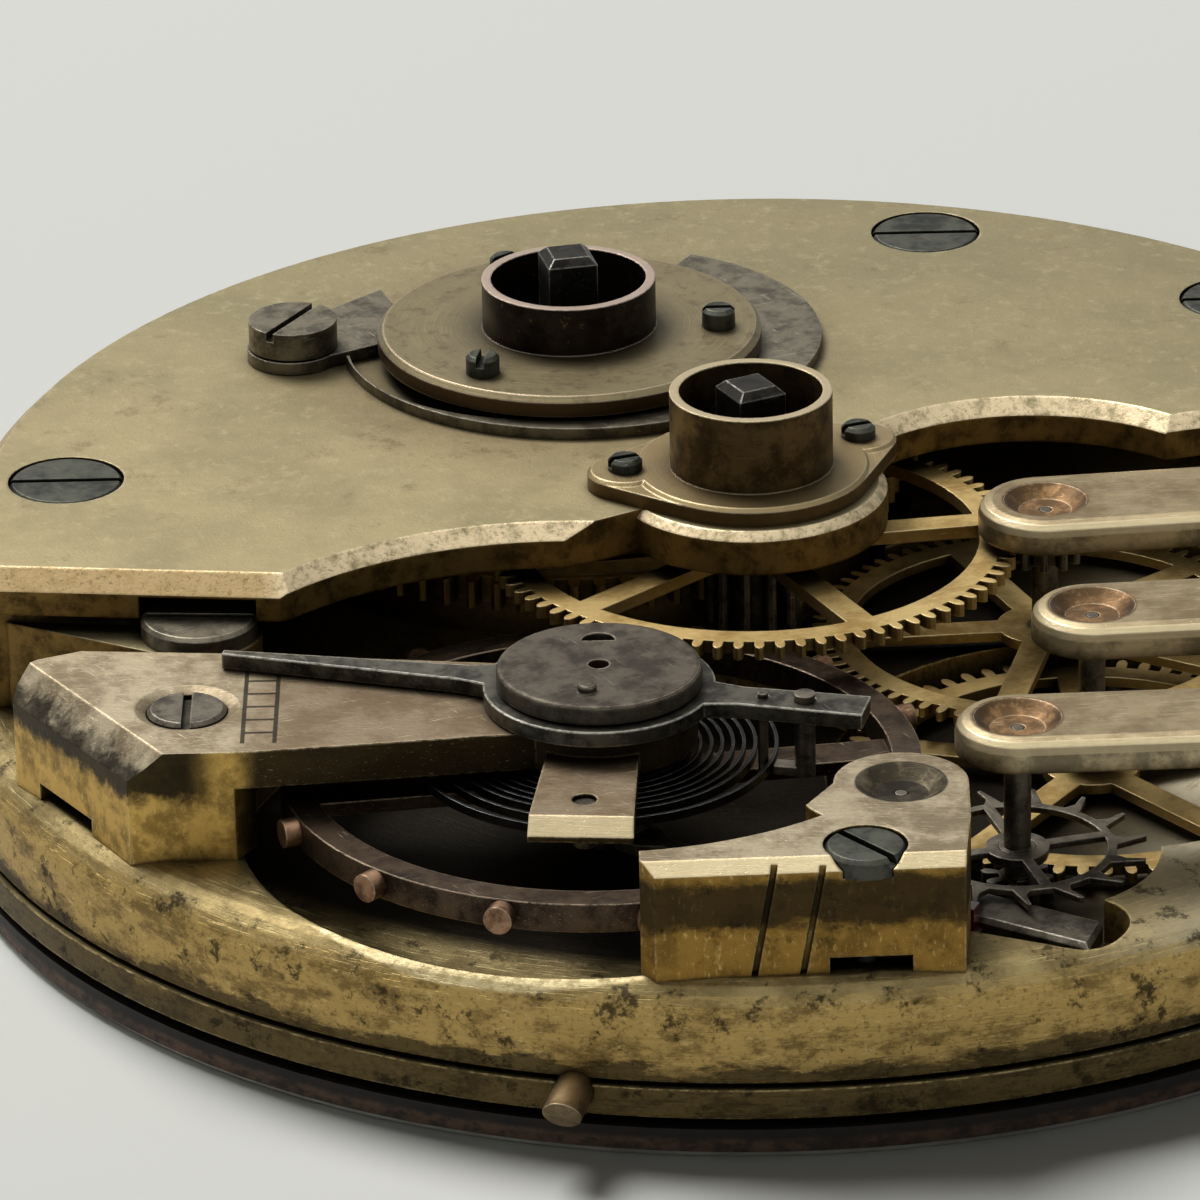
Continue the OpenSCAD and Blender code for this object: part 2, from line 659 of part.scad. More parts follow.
module main_plate() {
    wall_z = plate_z + band_h;
    groove_h = 0.14;
    band_r = plate_r + band_w;
    color(gilt) difference() {
        rotate_extrude() polygon(concat([[0, dial_t], [seat_r, dial_t], [seat_r, plate_z], [band_r, plate_z],
            [band_r, wall_z], [plate_r - groove_d, wall_z], [plate_r - groove_d, wall_z + groove_h],
            [plate_r, wall_z + groove_h]], rim_round(), [[0, plate_top]]));
        bore(balance_axis, balance_recess_r, lever_floor, plate_top + cut);
        put(balance_axis, plate_top - recess_edge)
            cylinder(h = recess_edge + cut, r1 = balance_recess_r, r2 = balance_recess_r + recess_edge + cut);
        bore(third_axis, third_pitch_r + 2 * pocket_gap, third_floor, plate_top + cut);
        bore(fourth_axis, fourth_pitch_r + 2 * pocket_gap, fourth_floor, plate_top + cut);
        bore(escape_axis, escape_r + pocket_gap, fourth_floor, plate_top + cut);
        bore(barrel_axis, barrel_tip_r + pocket_gap, barrel_floor, plate_top + cut);
        tail_end = pallet_axis + polar(tail_len - tail_w / 2, tail_dir);
        slot(pallet_axis, tail_end, tail_w / 2 + tail_len * tan(lever_swing) + pocket_gap,
            lever_floor, plate_top + cut);
        bore(pallet_axis, norm([pallet_reach + 0.3, pallet_clear + stone_w]) + pocket_gap, lever_floor,
            plate_top + cut);
        bore(center_axis, hour_pitch_r + 2 * pocket_gap, dial_t - cut, motion_top);
        bore(minute_axis, minute_pitch_r + 2 * pocket_gap, dial_t - cut, motion_top);
        bore(center_axis, center_post_r + journal_play, dial_t, plate_top + cut);
        bore(barrel_axis, arbor_journal_r / 2 + journal_play, dial_t - cut, barrel_floor + cut);
        for (p = [third_axis, fourth_axis, escape_axis, pallet_axis, balance_axis])
            bore(p, pivot_r + pivot_play, dial_t - cut, plate_top + cut);
        for (d = dial_foot_dirs)
            bore(polar(dial_foot_ring, d), dial_foot_r + hole_play, dial_t - cut, plate_top + cut);
        for (d = plate_screw_dirs)
            put(polar(plate_screw_ring, d), upper_top)
                screw_room(plate_screw_r, screw_head_t, upper_t + upper_space + screw_grip, 0);
        for (p = [third_foot, fourth_foot, escape_foot])
            put(p, finger_top) screw_room(cock_screw_r, screw_head_t, finger_rise + screw_grip, 0);
        put(pallet_screw, pallet_cock_top)
            screw_room(cock_screw_r, screw_head_t, pallet_cock_rise + screw_grip, 0);
        put(cock_screw, balance_cock_top)
            screw_room(cock_screw_r, screw_head_t, balance_cock_rise + screw_grip, 0);
        put(ledge_screw, plate_top + ledge_h + screw_head_t)
            screw_room(plate_screw_r, screw_head_t, ledge_h + screw_head_t + screw_grip, 0);
        bore(minute_axis, minute_stud_r + journal_play, motion_top - cut, motion_top + 0.6);
        case_pin_place() cylinder(h = 3, r = case_pin_r + seat_play);
    }
}

// Frame whose z axis points out through the rim at the locating peg
case_pin_depth = 1.5;
module case_pin_place() {
    put(polar(plate_r - case_pin_depth, case_pin_dir), plate_z + band_h - 0.2)
        rotate(case_pin_dir) rotate([0, 90, 0]) children();
}

module case_pin() {
    reach = case_pin_depth + band_w + case_pin_out;
    color(brass) case_pin_place() difference() {
        cylinder(h = reach, r = case_pin_r);
        translate([-case_pin_r, 0, reach]) rotate([0, 35, 0]) translate([-2, -2, 0]) cube(4);
    }
}

module dial() {
    color(enamel) difference() {
        union() {
            rotate_extrude() polygon([[0, 0], [dial_r - dial_edge, 0], [dial_r, dial_edge],
                [dial_r, dial_t], [0, dial_t]]);
            for (d = dial_foot_dirs)
                bore(polar(dial_foot_ring, d), dial_foot_r, dial_t, plate_top + 0.85);
        }
        bore(center_axis, dial_hole_r, -cut, dial_t + cut);
        bore(fourth_axis, seconds_r, -cut, seconds_sink);
        bore(fourth_axis, pivot_r + 2 * pivot_play, -cut, dial_t + cut);
        for (d = dial_foot_dirs) dial_pin_place(d) cylinder(h = 4, r = 0.15 + seat_play, center = true);
    }
}

module dial_pin_place(d) {
    put(polar(dial_foot_ring, d), plate_top + 0.4) rotate(d) rotate([90, 0, 0]) children();
}

module dial_pins() {
    color(brass) for (d = dial_foot_dirs) dial_pin_place(d) cylinder(h = 2.2, r = 0.15, center = true);
}

// Corners of the upper plate's front edge, left to right
front_left = [[-upper_r, -4.9], [-12.19, -5.82]];
front_middle = [[-4.2, -2.5], [3.1, 1.7]];
front_right = [[10.95, 3.35], [upper_r, 6]];

// Everything behind that edge, set back by gap
module behind_front(h, gap = 0) {
    far = 2 * upper_r;
    edge = concat(front_left, front_middle, front_right);
    linear_extrude(h) polygon(concat([[-far, gap - 1]], [for (p = edge) p + [0, gap]], [[far, far], [-far, far]]));
}

// Ledge below the front corner, for the foot screw
module ledge() {
    bore(ledge_screw, plate_screw_r + 0.1, plate_top, plate_top + ledge_h);
    translate([0, 0, plate_top]) linear_extrude(ledge_h) polygon([ledge_screw + [-3.2, 2.4],
        ledge_screw + [-5, 0.9], ledge_screw + [-0.5, -1.5], ledge_screw + [1.4, -0.3],
        ledge_screw + [1.4, 2], ledge_screw + [-1.9, 3.4]]);
}

module upper_plate() {
    balance_scallop = balance_axis + [-1.1, -1.1];
    third_scallop = third_axis + [-0.3, 0];
    color(gilt) difference() {
        union() {
            difference() {
                intersection() {
                    put(center_axis, upper_z) bevel_disc(upper_r, upper_t, upper_edge);
                    translate([0, 0, upper_z - cut]) behind_front(upper_t + 2 * cut);
                }
                scallop(balance_scallop, scallop_r, upper_z, upper_top, upper_edge);
                scallop(third_scallop, third_scallop_r, upper_z, upper_top, upper_edge);
                edge_bevel(front_left[0], front_left[1], upper_top, corner_edge, 1);
                edge_bevel(front_right[0], front_right[1], upper_top, upper_edge * 0.9, 2);
            }
            put(center_axis, upper_z) bevel_disc(lobe_r, upper_t, lobe_edge);
            intersection() {
                tube(upper_r, upper_r - wall_w, plate_top, upper_z);
                translate([0, 0, plate_top]) behind_front(upper_space, 0.6);
            }
            ledge();
        }
        bore(barrel_axis, barrel_tip_r + pocket_gap, plate_top - cut, upper_z - 0.2);
        bore(barrel_axis, arbor_journal_r + journal_play, upper_z - 1, upper_top + cut);
        bore(center_axis, center_post_r + journal_play, upper_z - cut, upper_top + cut);
        for (d = plate_screw_dirs)
            put(polar(plate_screw_ring, d), upper_top)
                screw_room(plate_screw_r, screw_head_t, upper_t + upper_space + screw_grip, cut);
        put(ledge_screw, plate_top + ledge_h + screw_head_t)
            screw_room(plate_screw_r, screw_head_t, ledge_h + screw_head_t + screw_grip, ledge_relief);
        for (i = [0:2]) bore(ratchet_cap_screw(i), small_shank_r + hole_play, upper_top - 0.6, upper_top + cut);
        bore(click_axis, click_post_r + seat_play, upper_top - 0.7, upper_top + cut);
        for (p = flange_ears) bore(p, small_shank_r + hole_play, upper_top - 0.6, upper_top + cut);
    }
}

module plate_screws() {
    color(blued) for (d = plate_screw_dirs)
        put(polar(plate_screw_ring, d), upper_top)
            screw(plate_screw_r, screw_head_t, upper_t + upper_space + screw_grip, 0);
}

module foot_screw() {
    color(steel) put(ledge_screw, plate_top + ledge_h + screw_head_t)
        screw(plate_screw_r, screw_head_t, ledge_h + screw_head_t + screw_grip, -4);
}

// Finger bridge from its pivot to its foot at the rim
module finger(axis, foot, r) {
    bar_r = r - seat_play;
    side = round_edge(bar_r, finger_t, finger_edge);
    dir = heading(foot - axis);
    difference() {
        union() {
            for (p = [axis, foot]) put(p, finger_z) rotate(dir) round_disc(r, finger_t, finger_edge);
            put(axis, finger_z) rotate(dir) rotate([90, 0, 90]) linear_extrude(norm(foot - axis))
                polygon(concat([[-bar_r, 0], [bar_r, 0]], side, reversed([for (p = side) [-p[0], p[1]]])));
            bore(foot, r, plate_top, finger_z);
        }
        pivot_sink(axis, finger_z, finger_top);
        put(foot, finger_top) screw_room(cock_screw_r, screw_head_t, finger_rise + screw_grip, cut);
    }
}

module third_bridge() color(gilt) finger(third_axis, third_foot, third_finger_r);

module fourth_bridge() color(gilt) finger(fourth_axis, fourth_foot, finger_r);

module escape_bridge() color(gilt) finger(escape_axis, escape_foot, finger_r);

module bridge_screws() {
    color(blued) for (p = [third_foot, fourth_foot, escape_foot])
        put(p, finger_top) screw(cock_screw_r, screw_head_t, finger_rise + screw_grip, 30);
}

module pallet_cock() {
    front_l = polar(cock_ring, 261.1);
    front_r = polar(cock_ring, 282.7);
    corner = 0.35;
    color(worn_brass) difference() {
        union() {
            translate([0, 0, plate_top - rim_round_h]) linear_extrude(pallet_cock_rise + rim_round_h)
                polygon([front_l + [corner, 0], front_r, pallet_axis + [1.6, -1.95], pallet_axis + [-1.4, -2.1],
                    pallet_axis + [-4.6, -2.4], front_l + [0, 0.95], front_l + [0, corner]]);
            put([0, 0], pallet_arm_z) linear_extrude(pallet_arm_t)
                polygon([pallet_axis + [1.6, -2], pallet_axis + [pallet_end_r, 0],
                    pallet_axis + [-pallet_end_r, 0], pallet_axis + [-3, -2.3]]);
            bore(pallet_axis, pallet_end_r, pallet_arm_z, pallet_cock_top);
        }
        difference() {
            bore(balance_axis, cock_clear_r, plate_top - cut, pallet_cock_top + cut);
            bore(pallet_axis, pallet_end_r + 1, pallet_arm_z, pallet_cock_top + 2 * cut);
        }
        pivot_sink(pallet_axis, pallet_arm_z, pallet_cock_top);
        put(pallet_screw, pallet_cock_top)
            screw_room(cock_screw_r, screw_head_t, pallet_cock_rise + screw_grip, cut);
        edge_bevel(front_l, front_r, pallet_cock_top, pallet_cock_edge, 1);
        rim_room();
        // Slot for prising the cock off, and two scribed lines on its face
        put([pallet_axis[0] - 1.9, -cock_ring - 0.5], plate_top - rim_round_h)
            cube([pry_w, 1.6, rim_round_h + pry_h]);
        for (x = [-3.97, -2.8]) put([pallet_axis[0] + x, -cock_ring - 0.2], plate_top - rim_round_h)
            rotate([0, line_lean, 0]) cube([line_w, 0.72, 2 * pallet_cock_rise]);
    }
}

module pallet_cock_screw() {
    color(blued) put(pallet_screw, pallet_cock_top)
        screw(cock_screw_r, screw_head_t, pallet_cock_rise + screw_grip, -50);
}

module balance_cock() {
    outer_l = polar(cock_ring, 205);
    outer_r = polar(cock_ring, 220.7);
    face_dir = heading(outer_r - outer_l);
    lug_end = hairspring_r + 1.3;
    lug_edge = 0.4;
    color(worn_brass) difference() {
        union() {
            difference() {
                translate([0, 0, plate_top - rim_round_h]) linear_extrude(balance_cock_rise + rim_round_h)
                    polygon([balance_axis + [-13.1, 3.55], outer_l + [0.6, 0.9], outer_l + [0.1, 0.4], outer_l,
                        outer_r, outer_r + [0.35, -0.05], balance_axis + [-9.07, -2.65],
                        balance_axis + [-8.3, -1.4], balance_axis + [-7.4, 2.6], balance_axis + [-9.2, 3.2]]);
                bore(balance_axis, cock_clear_r, plate_top - rim_round_h - cut, balance_cock_top + cut);
                rim_room();
            }
            put([0, 0], balance_arm_z) linear_extrude(balance_arm_t)
                polygon([balance_axis + [-9.07, -2.65], balance_axis + [-1.6, -1.85],
                    balance_axis + [-1.2, 2.1], balance_axis + [-9.2, 3.2]]);
            bore(balance_axis, balance_end_r, balance_arm_z, balance_cock_top);
            bore(balance_axis, boss_r, balance_arm_z, cap_z);
            put(balance_axis, balance_arm_z) rotate(stud_dir) linear_extrude(lug_t)
                polygon([[0, -lug_w / 2 + 0.1], [lug_end, -lug_w / 2 - 0.15],
                    [lug_end, lug_w / 2 + 0.15], [0, lug_w / 2 - 0.1]]);
        }
        edge_bevel(outer_l, outer_r, balance_cock_top, cock_edge, 2);
        put(balance_axis, balance_arm_z + lug_t) rotate(stud_dir) translate([lug_end - lug_edge, -lug_w, 0])
            rotate([0, 45, 0]) translate([-lug_edge, 0, 0]) cube([4 * lug_edge, 2 * lug_w, 2 * lug_edge]);
        bore(balance_axis, staff_r + pocket_gap, balance_arm_z - cut, cap_z - jewel_t);
        bore(balance_axis, jewel_r + seat_play, cap_z - jewel_t, cap_z + cut);
        bore(stud_place(), stud_r + seat_play, balance_arm_z - cut, balance_arm_z + lug_t + cut);
        put(cock_screw, balance_cock_top)
            screw_room(cock_screw_r, screw_head_t, balance_cock_rise + screw_grip, cut);
        put(cock_screw, balance_cock_top - screw_ring_d) cylinder(h = screw_ring_d + cut,
            r1 = cock_screw_r + hole_play, r2 = cock_screw_r + hole_play + 2 * (screw_ring_d + cut));
        put(outer_l, plate_top - rim_round_h) rotate(face_dir) translate([1.2, -1.2, 0])
            cube([pry_w + 0.6, 2, rim_round_h + pry_h]);
    }
}

module balance_cock_screw() {
    color(steel) put(cock_screw, balance_cock_top)
        screw(cock_screw_r, screw_head_t, balance_cock_rise + screw_grip, 90);
}

function stud_place() = balance_axis + polar(hairspring_r, stud_dir);

module hairspring_stud() {
    color(brass) difference() {
        bore(stud_place(), stud_r, hairspring_z - 0.2, balance_arm_z + lug_t - 0.1);
        put(balance_axis, hairspring_z - 0.05)
            tube(hairspring_r + 0.12, hairspring_r - 0.12, 0, hairspring_h + 0.1);
    }
}

module balance_jewel() {
    color(ruby) put(balance_axis) tube(jewel_r, pivot_r + pivot_play - 0.04, cap_z - jewel_t, cap_z - 0.06);
}

module endstone() {
    color(ruby) bore(balance_axis, endstone_r, cap_z, cap_z + endstone_t);
}

module endstone_cap() {
    color(steel) difference() {
        union() {
            put(balance_axis, cap_z) round_disc(cap_r, cap_t, 0.12);
            put(balance_axis + [-0.3, -1.57], cap_z + cap_t - cut) round_disc(0.24, 0.2 + cut, 0.1);
        }
        bore(balance_axis, endstone_r + seat_play, cap_z - cut, cap_z + endstone_t);
        bore(balance_axis, 0.27, cap_z, cap_z + cap_t + cut);
        intersection() {
            bore(balance_axis + [0, 1.45], 0.42, cap_z - cut, cap_z + cap_t + cut);
            put(balance_axis + [-1, 1.4], cap_z - cut) cube([2, 1, 1]);
        }
    }
}

// Winding work

function ratchet_cap_screw(i) =
    barrel_axis + polar(ratchet_cap_screw_ring, ratchet_cap_first + 120 * i);

module ratchet_cap() {
    collar_top = cap_under + ratchet_cap_t + winding_collar_h;
    color(worn_brass) difference() {
        union() {
            put(barrel_axis, cap_under) bevel_disc(ratchet_cap_r, ratchet_cap_t, 0.15);
            put(barrel_axis) tube(winding_collar_r, winding_collar_r - collar_wall, cap_under, collar_top);
            bore(ratchet_cap_screw(0), small_screw_r, upper_top + click_spring_t, cap_under);
            for (i = [1:2]) bore(ratchet_cap_screw(i), small_screw_r, upper_top, cap_under);
        }
        bore(barrel_axis, winding_collar_r - collar_wall, cap_under - cut, collar_top + cut);
        for (i = [0:2])
            bore(ratchet_cap_screw(i), small_shank_r + hole_play, upper_top - cut, collar_top);
    }
}

module ratchet_cap_screws() {
    head = 0.55;
    color(blued) for (i = [0:2])
        put(ratchet_cap_screw(i), cap_under + ratchet_cap_t + head)
            screw(small_screw_r, head, ratchet_cap_t + head + ratchet_space + 0.4, 40 * i);
}

module click_spring() {
    center = barrel_axis + click_spring_offset;
    color(steel) difference() {
        union() {
            difference() {
                bore(center, click_spring_r, upper_top, upper_top + click_spring_t);
                bore(barrel_axis + [-0.75, 0.25], ratchet_cap_r + 0.05, upper_top - cut, cap_under);
                put(center, upper_top - cut) rotate(62) cube([9, 9, 2]);
                put(center, upper_top - cut) rotate(100) cube([9, 9, 2]);
                bore(click_axis, click_boss_r + pocket_gap, upper_top - cut, cap_under);
            }
            put(ratchet_cap_screw(0), upper_top) rotate(ratchet_cap_first) {
                cylinder(h = click_spring_t, r = 0.65);
                translate([0, -0.65, 0]) cube([1.2, 1.3, click_spring_t]);
            }
        }
        bore(ratchet_cap_screw(0), small_shank_r + hole_play, upper_top - cut, cap_under);
    }
}

module click_screw() {
    head_t = 0.75;
    top = upper_top + ratchet_t + end_play + head_t;
    color(blued) put(click_axis, top) rotate(60) difference() {
        turned(upper_top - top - 0.6, [[click_post_r, -head_t], [plate_screw_r * 0.8, 0]]);
        translate([-2, -slot_w / 2, -slot_d]) cube([4, slot_w, 1]);
    }
}

module click() {
    nose = barrel_axis + polar(ratchet_r + 0.04, 140);
    color(steel) difference() {
        union() {
            bore(click_axis, click_boss_r, upper_top + 0.02, upper_top + ratchet_t);
            translate([0, 0, upper_top + 0.02]) linear_extrude(ratchet_t - 0.02) polygon([
                click_axis + [0.5, -1], click_axis + [3.2, 0.5], nose, nose + [-0.2, 0.35],
                click_axis + [3, 1.75], click_axis + [2.3, 3.95], click_axis + [-0.6, 1]]);
        }
        bore(click_axis, click_post_r + journal_play, upper_top - cut, upper_top + 1);
    }
}

module ratchet_wheel() {
    step = 360 / ratchet_teeth;
    root = ratchet_r - 0.35;
    color(steel) put(barrel_axis, ratchet_z) difference() {
        linear_extrude(ratchet_t) polygon([for (i = [0:ratchet_teeth - 1])
            each [polar(root, i * step), polar(ratchet_r, i * step + 0.08 * step)]]);
        rotate(winding_turn) translate([0, 0, -cut])
            linear_extrude(1) square(square_w + 2 * seat_play, center = true);
    }
}

module barrel_drum() {
    color(brass) put(barrel_axis) difference() {
        union() {
            bore(center_axis, drum_r, barrel_z, barrel_top - 0.02);
            translate([0, 0, barrel_teeth_z]) wheel_disc(barrel_teeth, barrel_pitch_r, barrel_teeth_t);
        }
        bore(center_axis, spring_room_r, barrel_z + drum_wall, barrel_top + cut);
        bore(center_axis, drum_r - drum_wall, barrel_top - cover_t, barrel_top + cut);
        bore(center_axis, arbor_journal_r + journal_play, barrel_z - cut, barrel_top);
    }
}

module barrel_cover() {
    color(brass) put(barrel_axis)
        tube(drum_r - drum_wall - seat_play, arbor_journal_r + journal_play, barrel_top - cover_t, barrel_top);
}

module mainspring() {
    z = barrel_z + drum_wall;
    outer = spring_room_r - spring_thick / 2 - seat_play;
    inner = arbor_hub_r + spring_thick / 2 + pocket_gap;
    turns = floor((outer - inner) / spring_pitch * 24) / 24;
    start = outer - turns * spring_pitch;
    color(blued) put(barrel_axis, z)
        ribbon(start, spring_pitch, turns, 40, spring_thick, barrel_top - cover_t - pocket_gap / 2 - z);
    echo(mainspring_least_gap = coil_gap(start, spring_pitch, turns, 40, spring_thick));
}

module barrel_arbor() {
    color(steel) put(barrel_axis) {
        turned(barrel_z - 0.9, [[arbor_journal_r / 2, barrel_floor + end_play],
            [arbor_journal_r, barrel_z + drum_wall + end_play], [arbor_hub_r, barrel_top - cover_t - end_play],
            [arbor_journal_r, ratchet_z]]);
        translate([0, 0, upper_top]) rotate(winding_turn)
            square_post(square_w, winding_top - upper_top, square_edge);
    }
}

// Centre and hand setting

module center_wheel() {
    color(brass) put(center_axis, center_wheel_z)
        train_wheel(center_teeth, center_pitch_r, center_wheel_t, center_post_r, 8);
}

module center_pinion() {
    phase = mesh_phase(0, barrel_teeth, center_leaves, barrel_dir + 180);
    shoulder = plate_top + end_play;
    color(steel) difference() {
        union() {
            turned(motion_top + end_play, [[center_post_r, shoulder], [leaf_root(center_leaf_r, center_leaves),
                center_wheel_z - 0.1], [center_post_r, upper_top - end_play]]);
            leaves(center_leaves, center_leaf_r, shoulder, center_wheel_z, phase);
            tube(center_post_r + 0.25, center_bore_r, center_wheel_z + center_wheel_t, upper_z - end_play);
        }
        bore(center_axis, center_bore_r, 0, upper_top + cut);
    }
}

module setting_arbor() {
    color(steel) {
        turned(hand_post_z, [[setting_r, upper_top], [square_w / 2, upper_top + flange_t]]);
        translate([0, 0, upper_top + flange_t - cut]) rotate(setting_turn)
            square_post(square_w, setting_top - upper_top - flange_t + cut, square_edge);
    }
}

module cannon_pinion() {
    color(steel) difference() {
        union() {
            turned(hand_post_z, [[cannon_pipe_r, motion_top - end_play]]);
            leaves(cannon_leaves, cannon_leaf_r, minute_wheel_z - 0.1, motion_top - end_play, 0);
        }
        bore(center_axis, setting_r + seat_play, 0, motion_top + cut);
    }
}

module minute_wheel() {
    phase = mesh_phase(0, cannon_leaves, minute_teeth, minute_dir);
    color(brass) put(minute_axis) difference() {
        union() {
            translate([0, 0, minute_wheel_z]) wheel_disc(minute_teeth, minute_pitch_r, minute_wheel_t, phase);
            leaves(minute_leaves, minute_leaf_r, hour_wheel_z - 0.05, minute_wheel_z, 0);
            turned(minute_wheel_z, [[minute_stud_r, motion_top + 0.55]]);
        }
    }
}

module hour_wheel() {
    phase = mesh_phase(0, minute_leaves, hour_teeth, minute_dir + 180);
    color(brass) difference() {
        union() {
            translate([0, 0, hour_wheel_z]) wheel_disc(hour_teeth, hour_pitch_r, hour_wheel_t, phase);
            turned(hand_post_z, [[hour_pipe_r, hour_wheel_z + hour_wheel_t + 0.1]]);
        }
        bore(center_axis, cannon_pipe_r + journal_play, 0, motion_top);
    }
}

// Round ear at p, joined to the flange along the two outer tangents
module flange_ear(p, r) {
    dir = heading(p);
    lean = acos((flange_r - r) / norm(p));
    put(p, upper_top) bevel_disc(r, flange_t, 0.1);
    translate([0, 0, upper_top]) linear_extrude(flange_t - 0.1) polygon([polar(flange_r, dir - lean),
        p + polar(r, dir - lean), p + polar(r, dir + lean), polar(flange_r, dir + lean)]);
}

module setting_collar() {
    color(worn_brass) difference() {
        union() {
            put(center_axis, upper_top) bevel_disc(flange_r, flange_t, 0.1);
            for (p = flange_ears) flange_ear(p, 2 * small_screw_r + 0.1);
            put(center_axis) tube(setting_collar_r, setting_collar_r - collar_wall,
                upper_top, upper_top + flange_t + setting_collar_h);
        }
        bore(center_axis, setting_collar_r - collar_wall, upper_top - cut, upper_top + flange_t + cut);
        for (p = flange_ears)
            bore(p, small_shank_r + hole_play, upper_top - cut, upper_top + flange_t + cut);
    }
}

module setting_collar_screws() {
    head = 0.35;
    color(blued) for (p = flange_ears)
        put(p, upper_top + flange_t + head) screw(small_screw_r, head, flange_t + head + 0.4, 20);
}

// Train beyond the centre

module third_wheel() {
    color(brass) put(third_axis, third_wheel_z)
        train_wheel(third_teeth, third_pitch_r, wheel_t, wheel_seat_r, 40);
}

// Arbor with its pivots, its wheel seat and its leaves
module train_arbor(low, floor, seat_z, leaf_z0, leaf_z1, count, pitch_r, phase, roof, high) {
    turned(low, [[pivot_r, floor + end_play], [arbor_r, seat_z - collar_t], [wheel_collar_r, seat_z],
        [wheel_seat_r, seat_z + wheel_t], [arbor_r, roof - end_play], [pivot_r, high]]);
    leaves(count, pitch_r, leaf_z0, leaf_z1, phase);
}

module third_pinion() {
    phase = mesh_phase(0, center_teeth, third_leaves, third_dir);
    color(steel) put(third_axis)
        train_arbor(dial_t + 0.8, third_floor, third_wheel_z, center_wheel_z - leaf_reach,
            center_wheel_z + center_wheel_t + leaf_reach, third_leaves, third_leaf_r, phase,
            finger_z, finger_top - sink_d);
}

module fourth_wheel() {
    color(brass) put(fourth_axis, fourth_wheel_z)
        train_wheel(fourth_teeth, fourth_pitch_r, wheel_t, wheel_seat_r, 20);
}

module fourth_pinion() {
    phase = mesh_phase(0, third_teeth, fourth_leaves, fourth_dir);
    color(steel) put(fourth_axis)
        train_arbor(hand_post_z, fourth_floor, fourth_wheel_z, third_wheel_z - leaf_reach,
            third_wheel_z + wheel_t + leaf_reach, fourth_leaves, fourth_leaf_r, phase,
            finger_z, finger_top - sink_d);
}

// Escape wheel with forward-leaning teeth
module escape_wheel() {
    step = 360 / escape_teeth;
    root = escape_r - 0.78;
    tooth = [[root, 0], [escape_r, 0.3], [escape_r - 0.02, 0.37], [root + 0.28, 0.3], [root, 0.42]];
    color(steel) put(escape_axis, escape_wheel_z) difference() {
        linear_extrude(escape_t) polygon([for (i = [0:escape_teeth - 1]) for (t = tooth)
            polar(t[0], (i + t[1]) * step)]);
        spoke_gaps(root - 0.24, 0.8, 4, 0.28, escape_t, 15);
        bore(center_axis, wheel_seat_r + seat_play, -cut, escape_t + cut);
    }
}

module escape_pinion() {
    phase = mesh_phase(0, fourth_teeth, escape_leaves, escape_dir);
    color(steel) put(escape_axis) {
        turned(dial_t + 0.8, [[pivot_r, fourth_floor + end_play], [arbor_r, escape_wheel_z - collar_t],
            [wheel_collar_r, escape_wheel_z], [wheel_seat_r, escape_wheel_z + escape_t],
            [arbor_r, finger_z - end_play], [pivot_r, finger_top - sink_d]]);
        leaves(escape_leaves, escape_leaf_r, fourth_wheel_z - leaf_reach,
            fourth_wheel_z + wheel_t + leaf_reach, phase);
    }
}

// Distance from the pallet arbor to a pallet, and the pallet's room beside the wheel's teeth
pallet_reach = escape_r * tan(pallet_half_span);
pallet_clear = 0.29 + pallet_reach * tan(lever_swing);
stone_w = 0.44;
tail_neck = 1.7;

// Frame whose x axis runs from the pallet arbor along a pallet's arm
module pallet_arm(side) {
    rotate(pallet_dir + 180 + side * (90 - pallet_half_span)) mirror([0, side < 0 ? 1 : 0]) children();
}

// Lever with its fork, its tail and the two pallet arms
module pallet_lever() {
    fork = lever_span - impulse_r;
    half = lever_w / 2;
    color(steel) put(pallet_axis, lever_z) difference() {
        union() {
            rotate(lever_dir) linear_extrude(lever_t)
                polygon([[0, -half], [fork - 0.9, -half * 0.7], [fork - 0.3, -0.55], [fork + 0.35, -0.5],
                    [fork + 0.35, -0.22], [fork - 0.25, -0.2], [fork - 0.25, 0.2], [fork + 0.35, 0.22],
                    [fork + 0.35, 0.5], [fork - 0.3, 0.55], [fork - 0.9, half * 0.7], [0, half]]);
            rotate(tail_dir) {
                linear_extrude(lever_t) polygon([[0, -half], [tail_neck, -0.12], [tail_neck, tail_w - 0.15], [0, half]]);
                tail_bar();
            }
            for (side = [-1, 1]) pallet_arm(side) linear_extrude(lever_t)
                polygon([[0, -half], [pallet_reach + 0.3, pallet_clear - stone_w], [pallet_reach + 0.3,
                    pallet_clear + stone_w], [0, half + 0.2]]);
            cylinder(h = lever_t, r = 0.7);
        }
        bore(center_axis, pallet_arbor_r + seat_play, -cut, lever_t + cut);
        for (side = [-1, 1]) pallet_arm(side) stone_block(lever_t, tail_t + cut, seat_play);
    }
}

// Thick end of the tail, with bevelled upper edges
module tail_bar() {
    back = [[tail_neck, tail_w - 0.15], [tail_len - 0.1, tail_w / 2]];
    front = [[tail_neck, -0.12], [tail_len, -tail_w / 2]];
    edge = 0.12;
    difference() {
        linear_extrude(tail_t) polygon([front[0], front[1], back[1], back[0]]);
        edge_bevel(front[0], front[1], tail_t, edge, 1);
        edge_bevel(front[1], back[1], tail_t, edge, 1);
    }
}

// Stone on a pallet's arm between two heights above the lever's underside
module stone_block(z0, z1, play = 0) {
    translate([pallet_reach, pallet_clear, z0]) linear_extrude(z1 - z0) square(stone_w + 2 * play, center = true);
}

module pallet_stones() {
    color(ruby) put(pallet_axis, lever_z) for (side = [-1, 1]) pallet_arm(side)
        stone_block(lever_t, escape_wheel_z + escape_t + 0.12 - lever_z);
}

